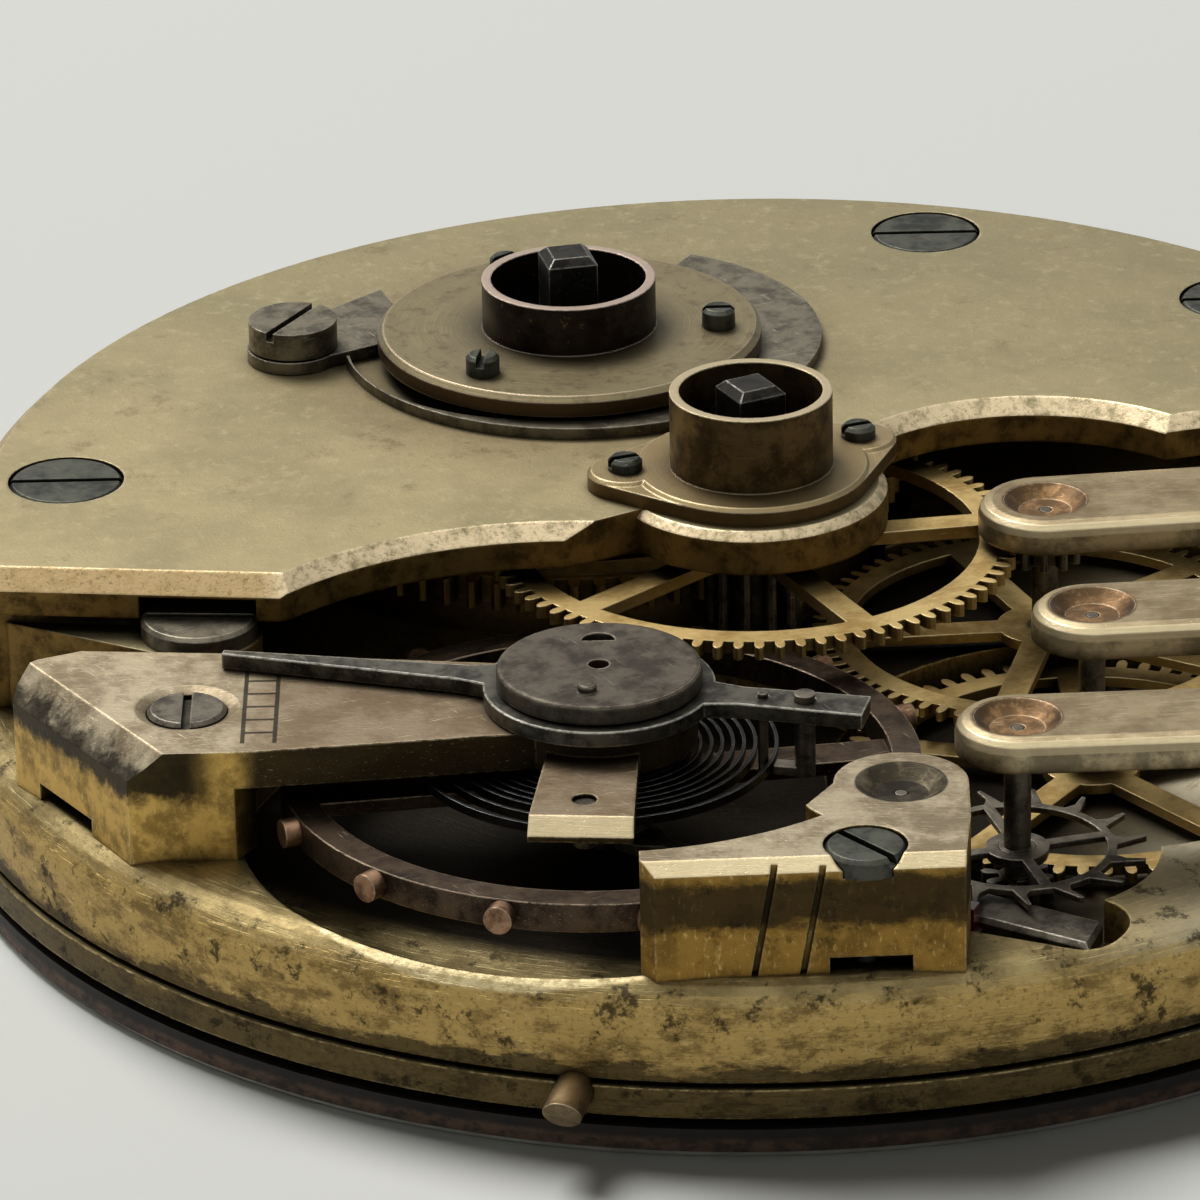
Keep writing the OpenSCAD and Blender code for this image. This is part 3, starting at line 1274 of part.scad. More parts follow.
module pallet_arbor() {
    color(steel) put(pallet_axis)
        turned(dial_t + 0.8, [[pivot_r, lever_floor + end_play], [pallet_arbor_r + 0.15, lever_z],
            [pallet_arbor_r, pallet_arm_z - end_play], [pivot_r, pallet_cock_top - sink_d]]);
}

// Balance

module balance_wheel() {
    inner = balance_r - balance_rim_w;
    color(bronze) put(balance_axis, balance_z) difference() {
        union() {
            tube(balance_r, inner, 0, balance_rim_h);
            intersection() {
                bore(center_axis, balance_r - 0.2, 0, balance_rim_h);
                translate([0, 0, balance_arm_lift]) rotate(balance_arm_dir)
                    translate([-balance_r, -balance_arm_w / 2, 0])
                        cube([2 * balance_r, balance_arm_w, balance_arm_h]);
            }
            bore(center_axis, 1.15, balance_arm_lift, balance_arm_lift + balance_arm_h);
        }
        bore(center_axis, staff_r + seat_play, -cut, balance_rim_h + cut);
        for (i = [0:timing_screws - 1]) timing_place(i)
            cylinder(h = balance_rim_w + 2, r = timing_r * 0.55 + seat_play);
    }
}

// Frame whose z axis points outwards through the rim at a timing screw
module timing_place(i) {
    rotate(balance_arm_dir + 360 / timing_screws * (i + 0.5)) translate([balance_r - balance_rim_w / 2, 0,
        balance_rim_h / 2]) rotate([0, 90, 0]) children();
}

module timing_screws_set() {
    color(brass) put(balance_axis, balance_z) for (i = [0:timing_screws - 1]) timing_place(i)
        turned(0.02, [[timing_r * 0.55, balance_rim_w / 2], [timing_r, balance_rim_w / 2 + timing_out]]);
}

module balance_staff() {
    color(steel) put(balance_axis)
        turned(dial_t + 0.8, [[pivot_r * 0.7, lever_floor + end_play], [staff_r * 0.6, roller_z],
            [staff_r, hairspring_z + hairspring_h], [staff_r * 0.6, cap_z - jewel_t - 2 * end_play],
            [pivot_r * 0.7, cap_z - end_play]]);
}

module roller() {
    color(steel) put(balance_axis, roller_z) difference() {
        union() {
            cylinder(h = roller_t, r = roller_r);
            put(polar(impulse_r, lever_dir + 180), lever_top + end_play - roller_z)
                cylinder(h = roller_z - lever_top - end_play + 0.1, r = impulse_pin_r);
        }
        bore(center_axis, staff_r + seat_play, -1, roller_t + cut);
    }
}

module hairspring_collet() {
    color(brass) put(balance_axis)
        tube(collet_r, staff_r + seat_play, hairspring_z, hairspring_z + hairspring_h);
}

// The ribbon leaves the collet and ends in the stud
module hairspring() {
    inner = hairspring_inner();
    pitch = (hairspring_r - inner) / hairspring_turns;
    start = stud_dir - 360 * hairspring_turns;
    color(blued) put(balance_axis, hairspring_z)
        ribbon(inner, pitch, hairspring_turns, start, hairspring_w, hairspring_h);
    echo(hairspring_least_gap = coil_gap(inner, pitch, hairspring_turns, start, hairspring_w));
}

module regulator() {
    ring_in = boss_r + journal_play;
    color(steel) put(balance_axis, balance_cock_top + end_play) difference() {
        union() {
            cylinder(h = regulator_t, r = regulator_r);
            rotate(regulator_dir) linear_extrude(regulator_t)
                polygon([[ring_in + 0.3, -0.7], [regulator_r + 0.6, -0.42], [pointer_len, -0.1],
                    [pointer_len, 0.12], [regulator_r + 0.6, 0.42], [ring_in + 0.3, 0.7]]);
            rotate(regulator_dir + 180) linear_extrude(regulator_t)
                polygon([[ring_in + 0.3, -0.75], [regulator_r + 0.7, -0.5], [regulator_tail, -0.55],
                    [regulator_tail, 0.55], [regulator_r + 0.7, 0.5], [ring_in + 0.3, 0.75]]);
        }
        bore(center_axis, ring_in, -cut, regulator_t + cut);
        rotate(regulator_dir + 180) {
            bore([curb_pin_at, 0], curb_pin_r + seat_play, -cut, regulator_t + cut);
            bore([curb_boot_at, 0], curb_boot_r + seat_play, -cut, regulator_t + cut);
        }
    }
}

// The curb pin stands inside the hairspring's outer coil and the boot outside it
curb_pin_r = 0.13;
curb_boot_r = 0.26;
curb_room = hairspring_w / 2 + 0.04;
function hairspring_inner() = collet_r + hairspring_w / 2 + 0.02;
// Radius of the outer coil where the regulator's tail crosses it
function curb_coil_r() =
    let (swept = (regulator_dir + 180 - stud_dir + 720) % 360)
    hairspring_r - (hairspring_r - hairspring_inner()) / hairspring_turns * (360 - swept) / 360;
curb_pin_at = curb_coil_r() - curb_room - curb_pin_r;
curb_boot_at = curb_coil_r() + 0.85;

module curb_pins() {
    low = hairspring_z - 0.1;
    top = balance_cock_top + end_play + regulator_t;
    color(brass) put(balance_axis) rotate(regulator_dir + 180) {
        bore([curb_pin_at, 0], curb_pin_r, low, top + 0.12);
        bore([curb_boot_at, 0], curb_boot_r, low, top + 0.2);
        translate([curb_coil_r() + curb_room, -0.2, low])
            cube([curb_boot_at - curb_coil_r() - curb_room, 0.4, hairspring_h]);
    }
}

main_plate();
dial();
dial_pins();
case_pin();
upper_plate();
plate_screws();
foot_screw();
third_bridge();
fourth_bridge();
escape_bridge();
bridge_screws();
pallet_cock();
pallet_cock_screw();
balance_cock();
balance_cock_screw();
balance_jewel();
endstone();
endstone_cap();
hairspring_stud();
ratchet_cap();
ratchet_cap_screws();
click_spring();
click_screw();
setting_collar();
setting_collar_screws();
barrel_drum();
barrel_cover();
mainspring();
barrel_arbor();
ratchet_wheel();
click();
center_wheel();
center_pinion();
setting_arbor();
cannon_pinion();
minute_wheel();
hour_wheel();
third_wheel();
third_pinion();
fourth_wheel();
fourth_pinion();
escape_wheel();
escape_pinion();
pallet_lever();
pallet_stones();
pallet_arbor();
balance_wheel();
timing_screws_set();
balance_staff();
roller();
hairspring_collet();
hairspring();
regulator();
curb_pins();
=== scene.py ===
import math

import bpy
import numpy as np
from mathutils import Matrix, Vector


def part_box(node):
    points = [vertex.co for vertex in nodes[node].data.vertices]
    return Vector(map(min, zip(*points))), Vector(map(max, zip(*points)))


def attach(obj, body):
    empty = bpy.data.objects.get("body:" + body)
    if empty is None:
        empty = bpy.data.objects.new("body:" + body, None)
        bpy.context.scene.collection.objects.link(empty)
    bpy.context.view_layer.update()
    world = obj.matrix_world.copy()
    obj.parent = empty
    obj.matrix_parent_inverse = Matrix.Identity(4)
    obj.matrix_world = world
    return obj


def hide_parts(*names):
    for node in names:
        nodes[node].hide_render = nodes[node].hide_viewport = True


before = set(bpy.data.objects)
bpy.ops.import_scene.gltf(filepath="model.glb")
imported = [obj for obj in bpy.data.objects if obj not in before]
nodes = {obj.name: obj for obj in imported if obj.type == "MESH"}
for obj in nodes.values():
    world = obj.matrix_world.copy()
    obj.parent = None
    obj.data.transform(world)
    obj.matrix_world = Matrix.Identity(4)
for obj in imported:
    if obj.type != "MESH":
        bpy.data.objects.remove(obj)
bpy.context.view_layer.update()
mm = 0.001
print("frame loaded:", len(nodes), "nodes")


# places read from the frame, in millimetres
def boxOf(node):
    low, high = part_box(node)
    return np.array(low) / mm, np.array(high) / mm


def centreOf(node):
    low, high = boxOf(node)
    return (low + high) / 2


balanceAxis = centreOf("balance_staff")
barrelAxis = centreOf("barrel_arbor")
studCentre = centreOf("hairspring_stud")
plateTop = boxOf("main_plate")[1][2]
upperTop = boxOf("upper_plate")[1][2]
fingerTop = boxOf("third_bridge")[1][2]
cockTop = boxOf("balance_cock_screw")[1][2]  # the screw's head is flush with the cock


# shader maths: a socket that can be added, multiplied and so on
class Field:
    def __init__(self, tree, socket):
        self.tree = tree
        self.socket = socket

    def math(self, operation, a, b=0.0):
        node = self.tree.make("ShaderNodeMath", {"operation": operation}, {0: a, 1: b})
        return Field(self.tree, node.outputs[0])

    def __add__(self, other):
        return self.math("ADD", self, other)

    __radd__ = __add__

    def __mul__(self, other):
        return self.math("MULTIPLY", self, other)

    __rmul__ = __mul__

    def __sub__(self, other):
        return self.math("SUBTRACT", self, other)

    def __rsub__(self, other):
        return self.math("SUBTRACT", other, self)

    def __pow__(self, other):
        return self.math("POWER", self, other)

    def __abs__(self):
        return self.math("ABSOLUTE", self)

    def least(self, other):
        return self.math("MINIMUM", self, other)

    def most(self, other):
        return self.math("MAXIMUM", self, other)

    # runs up and down again between 0 and the given height
    def wave(self, height):
        return self.math("PINGPONG", self, height)

    # 0 below low, 1 above high, smooth between
    def rise(self, low, high):
        span = {"Value": self, "From Min": low, "From Max": high, "To Min": 0.0, "To Max": 1.0}
        node = self.tree.make("ShaderNodeMapRange", {"interpolation_type": "SMOOTHSTEP"}, span)
        return Field(self.tree, node.outputs[0])

    # 1 inside a band about a middle value, 0 outside
    def band(self, middle, half, soft):
        return 1 - abs(self - middle).rise(half, half + soft)


class Tree:
    def __init__(self, owner):
        owner.use_nodes = True
        self.nodeTree = owner.node_tree
        self.nodeTree.nodes.clear()

    # the one method that makes nodes: type, settings first, then socket values or links
    def make(self, kind, settings=None, sockets=None):
        node = self.nodeTree.nodes.new(kind)
        for key, value in (settings or {}).items():
            setattr(node, key, value)
        for key, value in (sockets or {}).items():
            self.feed(node.inputs[key], value)
        return node

    def feed(self, socket, value):
        if isinstance(value, Field):
            value = value.socket
        if isinstance(value, bpy.types.NodeSocket):
            self.nodeTree.links.new(value, socket)
        else:
            socket.default_value = value


class Paint(Tree):
    def __init__(self, name):
        self.material = bpy.data.materials.new(name)
        super().__init__(self.material)
        self.shader = self.make("ShaderNodeBsdfPrincipled")
        self.out = self.make("ShaderNodeOutputMaterial", {}, {0: self.shader.outputs[0]})
        place = self.make("ShaderNodeTexCoord").outputs["Object"]
        scaled = self.make("ShaderNodeVectorMath", {"operation": "SCALE"}, {0: place, "Scale": 1 / mm})
        self.place = scaled.outputs[0]
        parts = self.make("ShaderNodeSeparateXYZ", {}, {0: self.place})
        self.x, self.y, self.z = [Field(self, s) for s in parts.outputs]
        self.flat = self.make("ShaderNodeNewGeometry").outputs["True Normal"]
        facing = self.make("ShaderNodeSeparateXYZ", {}, {0: self.flat})
        self.facingZ = Field(self, facing.outputs[2])

    # noise with its size in millimetres, stretched along x, y or z and turned about z
    def noise(self, size, detail=4.0, rough=0.6, stretch=(1, 1, 1), shift=0.0, turn=0.0, on=None):
        move = self.make("ShaderNodeMapping", {"vector_type": "TEXTURE"}, {
            "Vector": on or self.place,
            "Location": (shift, shift * 0.7, shift * 1.3),
            "Rotation": (0, 0, math.radians(turn)),
            "Scale": [size * s for s in stretch]})
        node = self.make("ShaderNodeTexNoise", {}, {
            "Vector": move.outputs[0], "Scale": 1.0, "Detail": detail, "Roughness": rough})
        return Field(self, node.outputs[0])

    # distance in plan from a point, in millimetres
    def away(self, point):
        return ((self.x - float(point[0])) ** 2.0 + (self.y - float(point[1])) ** 2.0) ** 0.5

    # place along the arcs round a point: length along the arc at the given radius, distance out, height
    def arcs(self, point, radius):
        across = self.x - float(point[0])
        along = self.y - float(point[1])
        turn = along.math("ARCTAN2", along, across)
        joined = self.make("ShaderNodeCombineXYZ", {}, {0: turn * radius, 1: self.away(point), 2: self.z})
        return joined.outputs[0]

    # 0 in tight corners, 1 in the open
    def open(self, reach):
        node = self.make("ShaderNodeAmbientOcclusion", {"samples": 6}, {"Distance": reach * mm})
        return Field(self, node.outputs["AO"])

    # the normal with its edges rounded, and how far it leans from the flat face there
    def rounded(self, radius):
        soft = self.make("ShaderNodeBevel", {"samples": 4}, {"Radius": radius * mm}).outputs[0]
        lean = self.make("ShaderNodeVectorMath", {"operation": "DOT_PRODUCT"}, {0: soft, 1: self.flat})
        return soft, (1 - Field(self, lean.outputs["Value"])).rise(0.015, 0.16)

    # fine straight scratches in two directions
    def hairlines(self, turn, otherTurn):
        one = self.noise(0.04, 2, 0.6, stretch=(30, 1, 1), turn=turn)
        other = self.noise(0.05, 2, 0.6, stretch=(22, 1, 1), turn=otherTurn, shift=4.0)
        return one.rise(0.66, 0.74).most(other.rise(0.68, 0.76))

    def mix(self, factor, a, b):
        node = self.make("ShaderNodeMix", {"data_type": "RGBA"}, {0: factor})
        for key, color in ((6, a), (7, b)):
            self.feed(node.inputs[key], (*color, 1.0) if isinstance(color, tuple) else color)
        return node.outputs[2]

    # one colour over another, layer by layer: pairs of mask and colour
    def layers(self, color, *pairs):
        for mask, over in pairs:
            color = self.mix(mask, color, over)
        return color

    # the normal under it tilted by a height, with its depth in millimetres
    def bump(self, height, depth, under=None):
        sockets = {"Height": height, "Strength": 1.0, "Distance": depth * mm}
        if under is not None:
            sockets["Normal"] = under
        return self.make("ShaderNodeBump", {}, sockets).outputs[0]

    def finish(self, color, rough, metal, normal=None, **fixed):
        sockets = {"Base Color": color, "Roughness": rough, "Metallic": metal}
        if normal is not None:
            sockets["Normal"] = normal
        for key, value in sockets.items():
            self.feed(self.shader.inputs[key], value)
        for key, value in fixed.items():
            self.shader.inputs[key.replace("_", " ")].default_value = value
        return self.material


# colours as they read in the photograph, sRGB 0 to 255
def tone(red, green, blue):
    level = np.array([red, green, blue]) / 255
    return tuple(np.where(level <= 0.04045, level / 12.92, ((level + 0.055) / 1.055) ** 2.4).tolist())


# matt gilding of the upper plate: mottled khaki, dirty round the winding work, pale along its worn edges
upperLook = {
    "top": tone(162, 148, 113), "cloud": tone(144, 133, 101), "pale": tone(174, 162, 128),
    "far": tone(124, 116, 90), "stain": tone(98, 80, 54), "bevel": tone(226, 204, 168),
    "brownBevel": tone(172, 144, 98), "wall": tone(128, 101, 54), "worn": tone(240, 226, 194),
    "grimeAndShade": tone(10, 7, 4),
    "leftCorner": -12.2,  # the bevel is brown left of this x
    "haloFrom": 5.6, "haloTo": 9.0,  # dirt round the barrel's axis fades out here
    # painted shade towards the far edge runs between these two places along y
    "farShadeFrom": -2.0, "farShadeTo": 18.0,  # darker towards the far edge, along y
    "edge": 0.1, "grimeAndShadeReach": 1.4, "metal": 0.92, "bump": 0.014,
}


def upperGilt():
    look = upperLook
    p = Paint("upperPlateGilt")
    cloud = p.noise(3.4, 6, 0.64)
    fine = p.noise(0.4, 5, 0.72, shift=4.0)
    grain = p.noise(0.08, 3, 0.7)
    stains = p.noise(1.2, 7, 0.74, shift=9.0).rise(0.55, 0.72)
    streak = p.noise(0.7, 6, 0.72, shift=8.0).rise(0.4, 0.66)
    pocks = p.noise(0.12, 3, 0.7, shift=7.0).rise(0.52, 0.7)
    halo = 1 - p.away(barrelAxis).rise(look["haloFrom"], look["haloTo"])
    # painted shade: darker towards the far edge, along y
    far = p.y.rise(look["farShadeFrom"], look["farShadeTo"])
    left = 1 - p.x.rise(look["leftCorner"] - 0.6, look["leftCorner"] + 0.3)
    slope = p.facingZ.band(0.68, 0.26, 0.06)
    side = 1 - abs(p.facingZ).rise(0.2, 0.42)
    soft, edge = p.rounded(look["edge"])
    # occlusion mask: tight corners get a painted shade along with their grime
    cornerGrimeAndShade = 1 - p.open(look["grimeAndShadeReach"]).rise(0.3, 0.8)
    worn = edge * (1 - cornerGrimeAndShade) * fine.rise(0.34, 0.6) * (1 - side)
    color = p.layers(
        look["top"],
        (cloud.rise(0.36, 0.66), look["cloud"]),
        (far * 0.5, look["far"]),
        (fine.rise(0.5, 0.74) * 0.55, look["pale"]),
        (stains * 0.4 + halo * cloud * 0.75, look["stain"]),
        (slope * fine.rise(0.3, 0.58), look["bevel"]),
        (slope * left * 0.8, look["brownBevel"]),
        (slope * pocks * 0.55, look["stain"]),
        (side, look["wall"]),
        (worn * 0.75, look["worn"]),
        ((cornerGrimeAndShade * 0.9 + side * streak * 0.7).least(0.95), look["grimeAndShade"]))
    rough = 0.4 + 0.16 * cloud + 0.14 * grain - 0.1 * slope - 0.08 * edge
    height = grain * 0.6 + fine * 0.5 + stains * 0.2
    return p.finish(color, rough, look["metal"], p.bump(height, look["bump"], soft))


# finger bridges: browner and more rubbed, with bright worn edges, a painted highlight along the top of their
# sides, and coppery oil sinks
fingerLook = {
    "top": tone(157, 141, 111), "cloud": tone(124, 107, 81), "pale": tone(176, 162, 132),
    "bevel": tone(218, 200, 162), "copper": tone(150, 116, 80), "sinkDirt": tone(58, 44, 31),
    "wall": tone(112, 92, 60), "worn": tone(244, 230, 200), "grimeAndShade": tone(14, 10, 7),
    "sinks": ("third_pinion", "fourth_pinion", "escape_pinion"), "sinkRadius": 1.15,
    "sinkDirtFrom": 0.75, "sinkDirtTo": 1.1,  # distance from the pivot
    "shoulderHighlightLow": 0.95, "shoulderHighlightHigh": 0.5,  # bright shoulder, below the top
    "edge": 0.08, "grimeAndShadeReach": 0.9, "metal": 0.94, "bump": 0.012,
}


def fingerGilt():
    look = fingerLook
    p = Paint("fingerGilt")
    cloud = p.noise(1.5, 6, 0.68)
    rubbed = p.noise(0.07, 3, 0.65, stretch=(12, 1, 1), turn=4)
    fine = p.noise(0.3, 5, 0.72, shift=3.0)
    slope = p.facingZ.band(0.6, 0.32, 0.06)
    side = 1 - abs(p.facingZ).rise(0.12, 0.3)
    soft, edge = p.rounded(look["edge"])
    gaps = [p.away(centreOf(pinion)) for pinion in look["sinks"]]
    nearest = gaps[0].least(gaps[1]).least(gaps[2])
    sink = 1 - nearest.rise(look["sinkRadius"] - 0.05, look["sinkRadius"] + 0.02)
    dirty = p.noise(0.5, 5, 0.7, shift=6.0).rise(0.36, 0.56)
    inSink = sink * (dirty * 0.8 + nearest.rise(look["sinkDirtFrom"], look["sinkDirtTo"]) * 0.5).least(1.0)
    # painted highlight: the upper part of the sides takes the bevel's cream
    shoulderHighlight = side * p.z.rise(fingerTop - look["shoulderHighlightLow"], fingerTop - look["shoulderHighlightHigh"])
    # occlusion mask: tight corners get a painted shade along with their grime
    cornerGrimeAndShade = 1 - p.open(look["grimeAndShadeReach"]).rise(0.3, 0.8)
    worn = edge * (1 - cornerGrimeAndShade) * (1 - side) * fine.rise(0.3, 0.55)
    hairs = p.hairlines(8, 62) * p.facingZ.rise(0.8, 0.95)
    color = p.layers(
        look["top"],
        (cloud.rise(0.38, 0.64), look["cloud"]),
        (rubbed.rise(0.54, 0.72) * 0.6, look["pale"]),
        (slope * (1 - sink) * (0.6 + 0.4 * fine), look["bevel"]),
        (sink, look["copper"]),
        (inSink * 0.8, look["sinkDirt"]),
        (side, look["wall"]),
        (shoulderHighlight * 0.8, look["bevel"]),
        (hairs * 0.45, look["worn"]),
        (worn * 0.8, look["worn"]),
        ((cornerGrimeAndShade * 0.9 + side * cloud.rise(0.4, 0.6) * 0.6).least(0.95), look["grimeAndShade"]))
    rough = 0.36 + 0.16 * cloud + 0.1 * rubbed - 0.1 * slope
    return p.finish(color, rough, look["metal"], p.bump(rubbed * 0.6 + fine * 0.5, look["bump"], soft))


# main plate: olive rim with fine arc scratches, scuffed gold wall with black stains, a painted shade over the
# recess floors
plateLook = {
    "rim": tone(150, 133, 92), "rimDark": tone(104, 90, 58), "pale": tone(204, 186, 138),
    "floor": tone(25, 20, 13), "right": tone(222, 212, 186), "wall": tone(190, 160, 98),
    "brown": tone(96, 75, 42), "bright": tone(240, 216, 158), "ridge": tone(198, 182, 142),
    "stain": tone(40, 34, 24), "grimeAndShade": tone(12, 9, 6),
    "wallRadius": 21.0, "rimInner": 17.4, "rimWidth": 1.2,  # measured out from the plate's centre
    "recessEdge": 9.15, "ridgeHalf": 0.3,  # bright ridge, from the balance's axis
    # the painted shade on the recess floors starts below this depth
    "floorLow": 0.42, "floorHigh": 0.3,  # dark below this depth under the plate's top
    "rightFrom": 7.0, "rightTo": 12.0,  # paler towards the right, along x
    "grooveHeight": 2.09, "grooveHalf": 0.22,  # stain along the groove over the band
    "tideLow": 1.0, "tideHigh": 1.9,  # stain low on the wall, above the plate's underside
    "edge": 0.1, "grimeAndShadeReach": 1.2, "metal": 0.92, "bump": 0.018,
}


def scuffedPlate():
    look = plateLook
    p = Paint("mainPlateGilt")
    low = boxOf("main_plate")[0][2]
    around = p.arcs((0, 0), look["wallRadius"])
    cloud = p.noise(2.6, 6, 0.66)
    fine = p.noise(0.28, 5, 0.74, shift=5.0)
    grain = p.noise(0.08, 3, 0.7)
    arcScratch = p.noise(0.07, 3, 0.65, stretch=(16, 1, 1), on=around).rise(0.55, 0.72)
    scuff = p.noise(0.16, 4, 0.72, stretch=(3, 1, 1), on=around, shift=2.0)
    patch = p.noise(1.0, 6, 0.74, stretch=(1.6, 1, 0.8), on=around, shift=5.0)
    crackle = p.noise(0.13, 4, 0.74, on=around, shift=8.0).rise(0.54, 0.64)
    side = 1 - abs(p.facingZ).rise(0.3, 0.62)
    slope = p.facingZ.band(0.7, 0.22, 0.08)
    outer = 1 - abs(p.facingZ).rise(0.42, 0.86)
    # painted shade: surfaces below the plate's top are dark
    floor = 1 - p.z.rise(plateTop - look["floorLow"], plateTop - look["floorHigh"])
    rim = p.away((0, 0)).rise(look["rimInner"], look["rimInner"] + look["rimWidth"])
    recess = p.away(balanceAxis).band(look["recessEdge"], look["ridgeHalf"], 0.12) * slope * (1 - side)
    rightSide = p.x.rise(look["rightFrom"], look["rightTo"]) * (1 - rim * 0.6)
    soft, edge = p.rounded(look["edge"])
    # occlusion mask: tight corners get a painted shade along with their grime
    cornerGrimeAndShade = 1 - p.open(look["grimeAndShadeReach"]).rise(0.3, 0.82)
    top = p.layers(
        look["rim"],
        (cloud.rise(0.38, 0.64), look["rimDark"]),
        (rightSide, look["right"]),
        (arcScratch * 0.45 + fine.rise(0.55, 0.75) * 0.3, look["pale"]),
        (floor * (1 - rim) * (1 - rightSide), look["floor"]))
    wall = p.layers(
        look["wall"],
        (patch.rise(0.46, 0.62) * 0.7, look["brown"]),
        (scuff.rise(0.55, 0.72) * 0.45, look["bright"]),
        (crackle * 0.5, look["brown"]))
    height = p.z + (p.noise(0.9, 6, 0.72, stretch=(1.8, 1, 1), on=around, shift=1.0) - 0.5) * 2.2
    lifted = p.z + (p.noise(0.9, 6, 0.74, stretch=(3, 1, 1), on=around, shift=14.0) - 0.5) * 2.4
    groove = lifted.band(look["grooveHeight"], look["grooveHalf"], 0.26)
    tide = (1 - height.rise(low + look["tideLow"], low + look["tideHigh"])).most(groove) * side
    spots = p.noise(1.1, 7, 0.76, on=around, shift=11.0).rise(0.55, 0.63) * (0.4 + 0.6 * rim)
    color = p.layers(
        p.mix(outer, top, wall),
        (tide * 0.8, look["stain"]),
        (spots * 0.8, look["stain"]),
        (recess * (0.35 + 0.65 * fine.rise(0.38, 0.6)), look["ridge"]),
        (edge * (1 - cornerGrimeAndShade) * fine.rise(0.4, 0.62) * 0.6, look["bright"]),
        ((cornerGrimeAndShade * 0.92).least(0.95), look["grimeAndShade"]))
    rough = 0.36 + 0.18 * cloud + 0.12 * grain + 0.12 * spots
    bumps = grain * 0.4 + scuff * 0.5 - arcScratch * 0.4 + fine * 0.5
    return p.finish(color, rough, look["metal"], p.bump(bumps, look["bump"], soft))


# cocks: grey-beige tops, gold rubbed sides, black stains on the outer chamfer or across the face
cockLook = {
    "top": tone(174, 160, 135), "rose": tone(112, 92, 71), "dull": tone(124, 110, 88),
    "pale": tone(194, 182, 156), "bright": tone(232, 202, 130), "deep": tone(104, 80, 38),
    "stain": tone(30, 26, 20), "line": tone(22, 18, 14), "worn": tone(240, 222, 184),
    "cream": tone(240, 220, 178), "armSideShade": tone(46, 37, 25),
    # the balance cock's gold is a lit copy of the same gilt, painted brighter as painted light on sides that
    # face away from the lamp
    "balanceGoldLit": tone(208, 171, 94), "palletGold": tone(158, 123, 58),
    # painted shade on the sides of the balance cock's arm reaches out to here
    "armShadeFrom": 8.8, "armShadeTo": 9.5,  # dark side of the arm, from the balance's axis
    "stainFrom": 9.6, "stainTo": 10.6,  # stained outer end, from the balance's axis
    "sideLow": 1.5, "sideHigh": 1.05,  # lower limit of its stain on the side, below the cock's top
    "footLow": 0.6, "footHigh": 0.2,  # upper limit of its stain on the chamfer, below the cock's top
    "rosePlace": 4.4, "roseHalf": 3.6,  # rose-brown stretch, from the balance's axis
    "lugFrom": 2.2, "lugTo": 3.2,  # cream bevel, from the hairspring's stud
    "sinkFrom": 1.1, "sinkTo": 1.18,  # dirty oil sink, from the pallet arbor
    "smearHeight": 1.9, "smearHalf": 0.45,  # dark smear on the pallet cock, above the plate
    "edge": 0.09, "grimeAndShadeReach": 0.9, "metal": 0.94, "bump": 0.014,
}


def wornCock(name, gold, stained, rosePart=None, lines=None, creamPart=None, sinkAt=None):
    look = cockLook
    p = Paint(name)
    cloud = p.noise(1.4, 6, 0.68)
    fine = p.noise(0.26, 5, 0.74, shift=2.0)
    brushed = p.noise(0.06, 3, 0.62, stretch=(12, 1, 1), turn=-6)
    upright = p.noise(0.08, 3, 0.65, stretch=(1.5, 1.5, 4), shift=4.0)
    blotch = p.noise(0.9, 6, 0.7, shift=7.0).rise(0.42, 0.64)
    specks = p.noise(0.2, 5, 0.72, shift=7.0).rise(0.66, 0.76)
    side = 1 - abs(p.facingZ).rise(0.25, 0.5)
    slope = p.facingZ.band(0.7, 0.2, 0.06)
    soft, edge = p.rounded(look["edge"])
    # occlusion mask: tight corners get a painted shade along with their grime
    cornerGrimeAndShade = 1 - p.open(look["grimeAndShadeReach"]).rise(0.3, 0.82)
    top = p.layers(
        look["top"],
        (cloud.rise(0.38, 0.62), look["dull"]),
        (brushed.rise(0.54, 0.72) * 0.5, look["pale"]))
    gold = p.layers(gold, (blotch * 0.7, look["deep"]), (upright.rise(0.56, 0.74) * 0.55, look["bright"]))
    if rosePart is not None:
        top = p.mix(rosePart(p) * (0.5 + 0.5 * cloud), top, look["rose"])
        # painted shade over the gold sides of the arm
        armShade = 1 - p.away(balanceAxis).rise(look["armShadeFrom"], look["armShadeTo"])
        gold = p.mix(armShade * 0.95, gold, look["armSideShade"])
    color = p.mix(side, top, gold)
    if creamPart is not None:
        cream = slope * (0.6 + 0.4 * fine)
        color = p.mix((cream * creamPart(p)).least(1.0), color, look["cream"])
    # dirt, with a painted shade in tight corners, specks, the oil sink and the engraved lines
    dirt = (cornerGrimeAndShade * 0.9 + specks * 0.4 * (1 - side)).least(0.94)
    if sinkAt is not None:
        sink = 1 - p.away(sinkAt).rise(look["sinkFrom"], look["sinkTo"])
        dirt = dirt.most(sink * (0.8 + 0.2 * cloud.rise(0.35, 0.55)) * 0.95)
    if lines is not None:
        dirt = dirt.most(lines(p))
    hairs = p.hairlines(20, -52) * (0.5 + 0.5 * p.facingZ.rise(0.5, 0.8))
    color = p.layers(
        color,
        (hairs * 0.5, look["worn"]),
        (edge * (1 - cornerGrimeAndShade) * fine.rise(0.36, 0.6) * 0.75, look["worn"]),
        (stained(p, side, slope), look["stain"]),
        (dirt, look["line"]))
    rough = 0.36 + 0.18 * cloud + 0.1 * brushed
    bumps = brushed * 0.5 + upright * 0.3 + fine * 0.6 - hairs * 0.5
    return p.finish(color, rough, look["metal"], p.bump(bumps, look["bump"], soft))


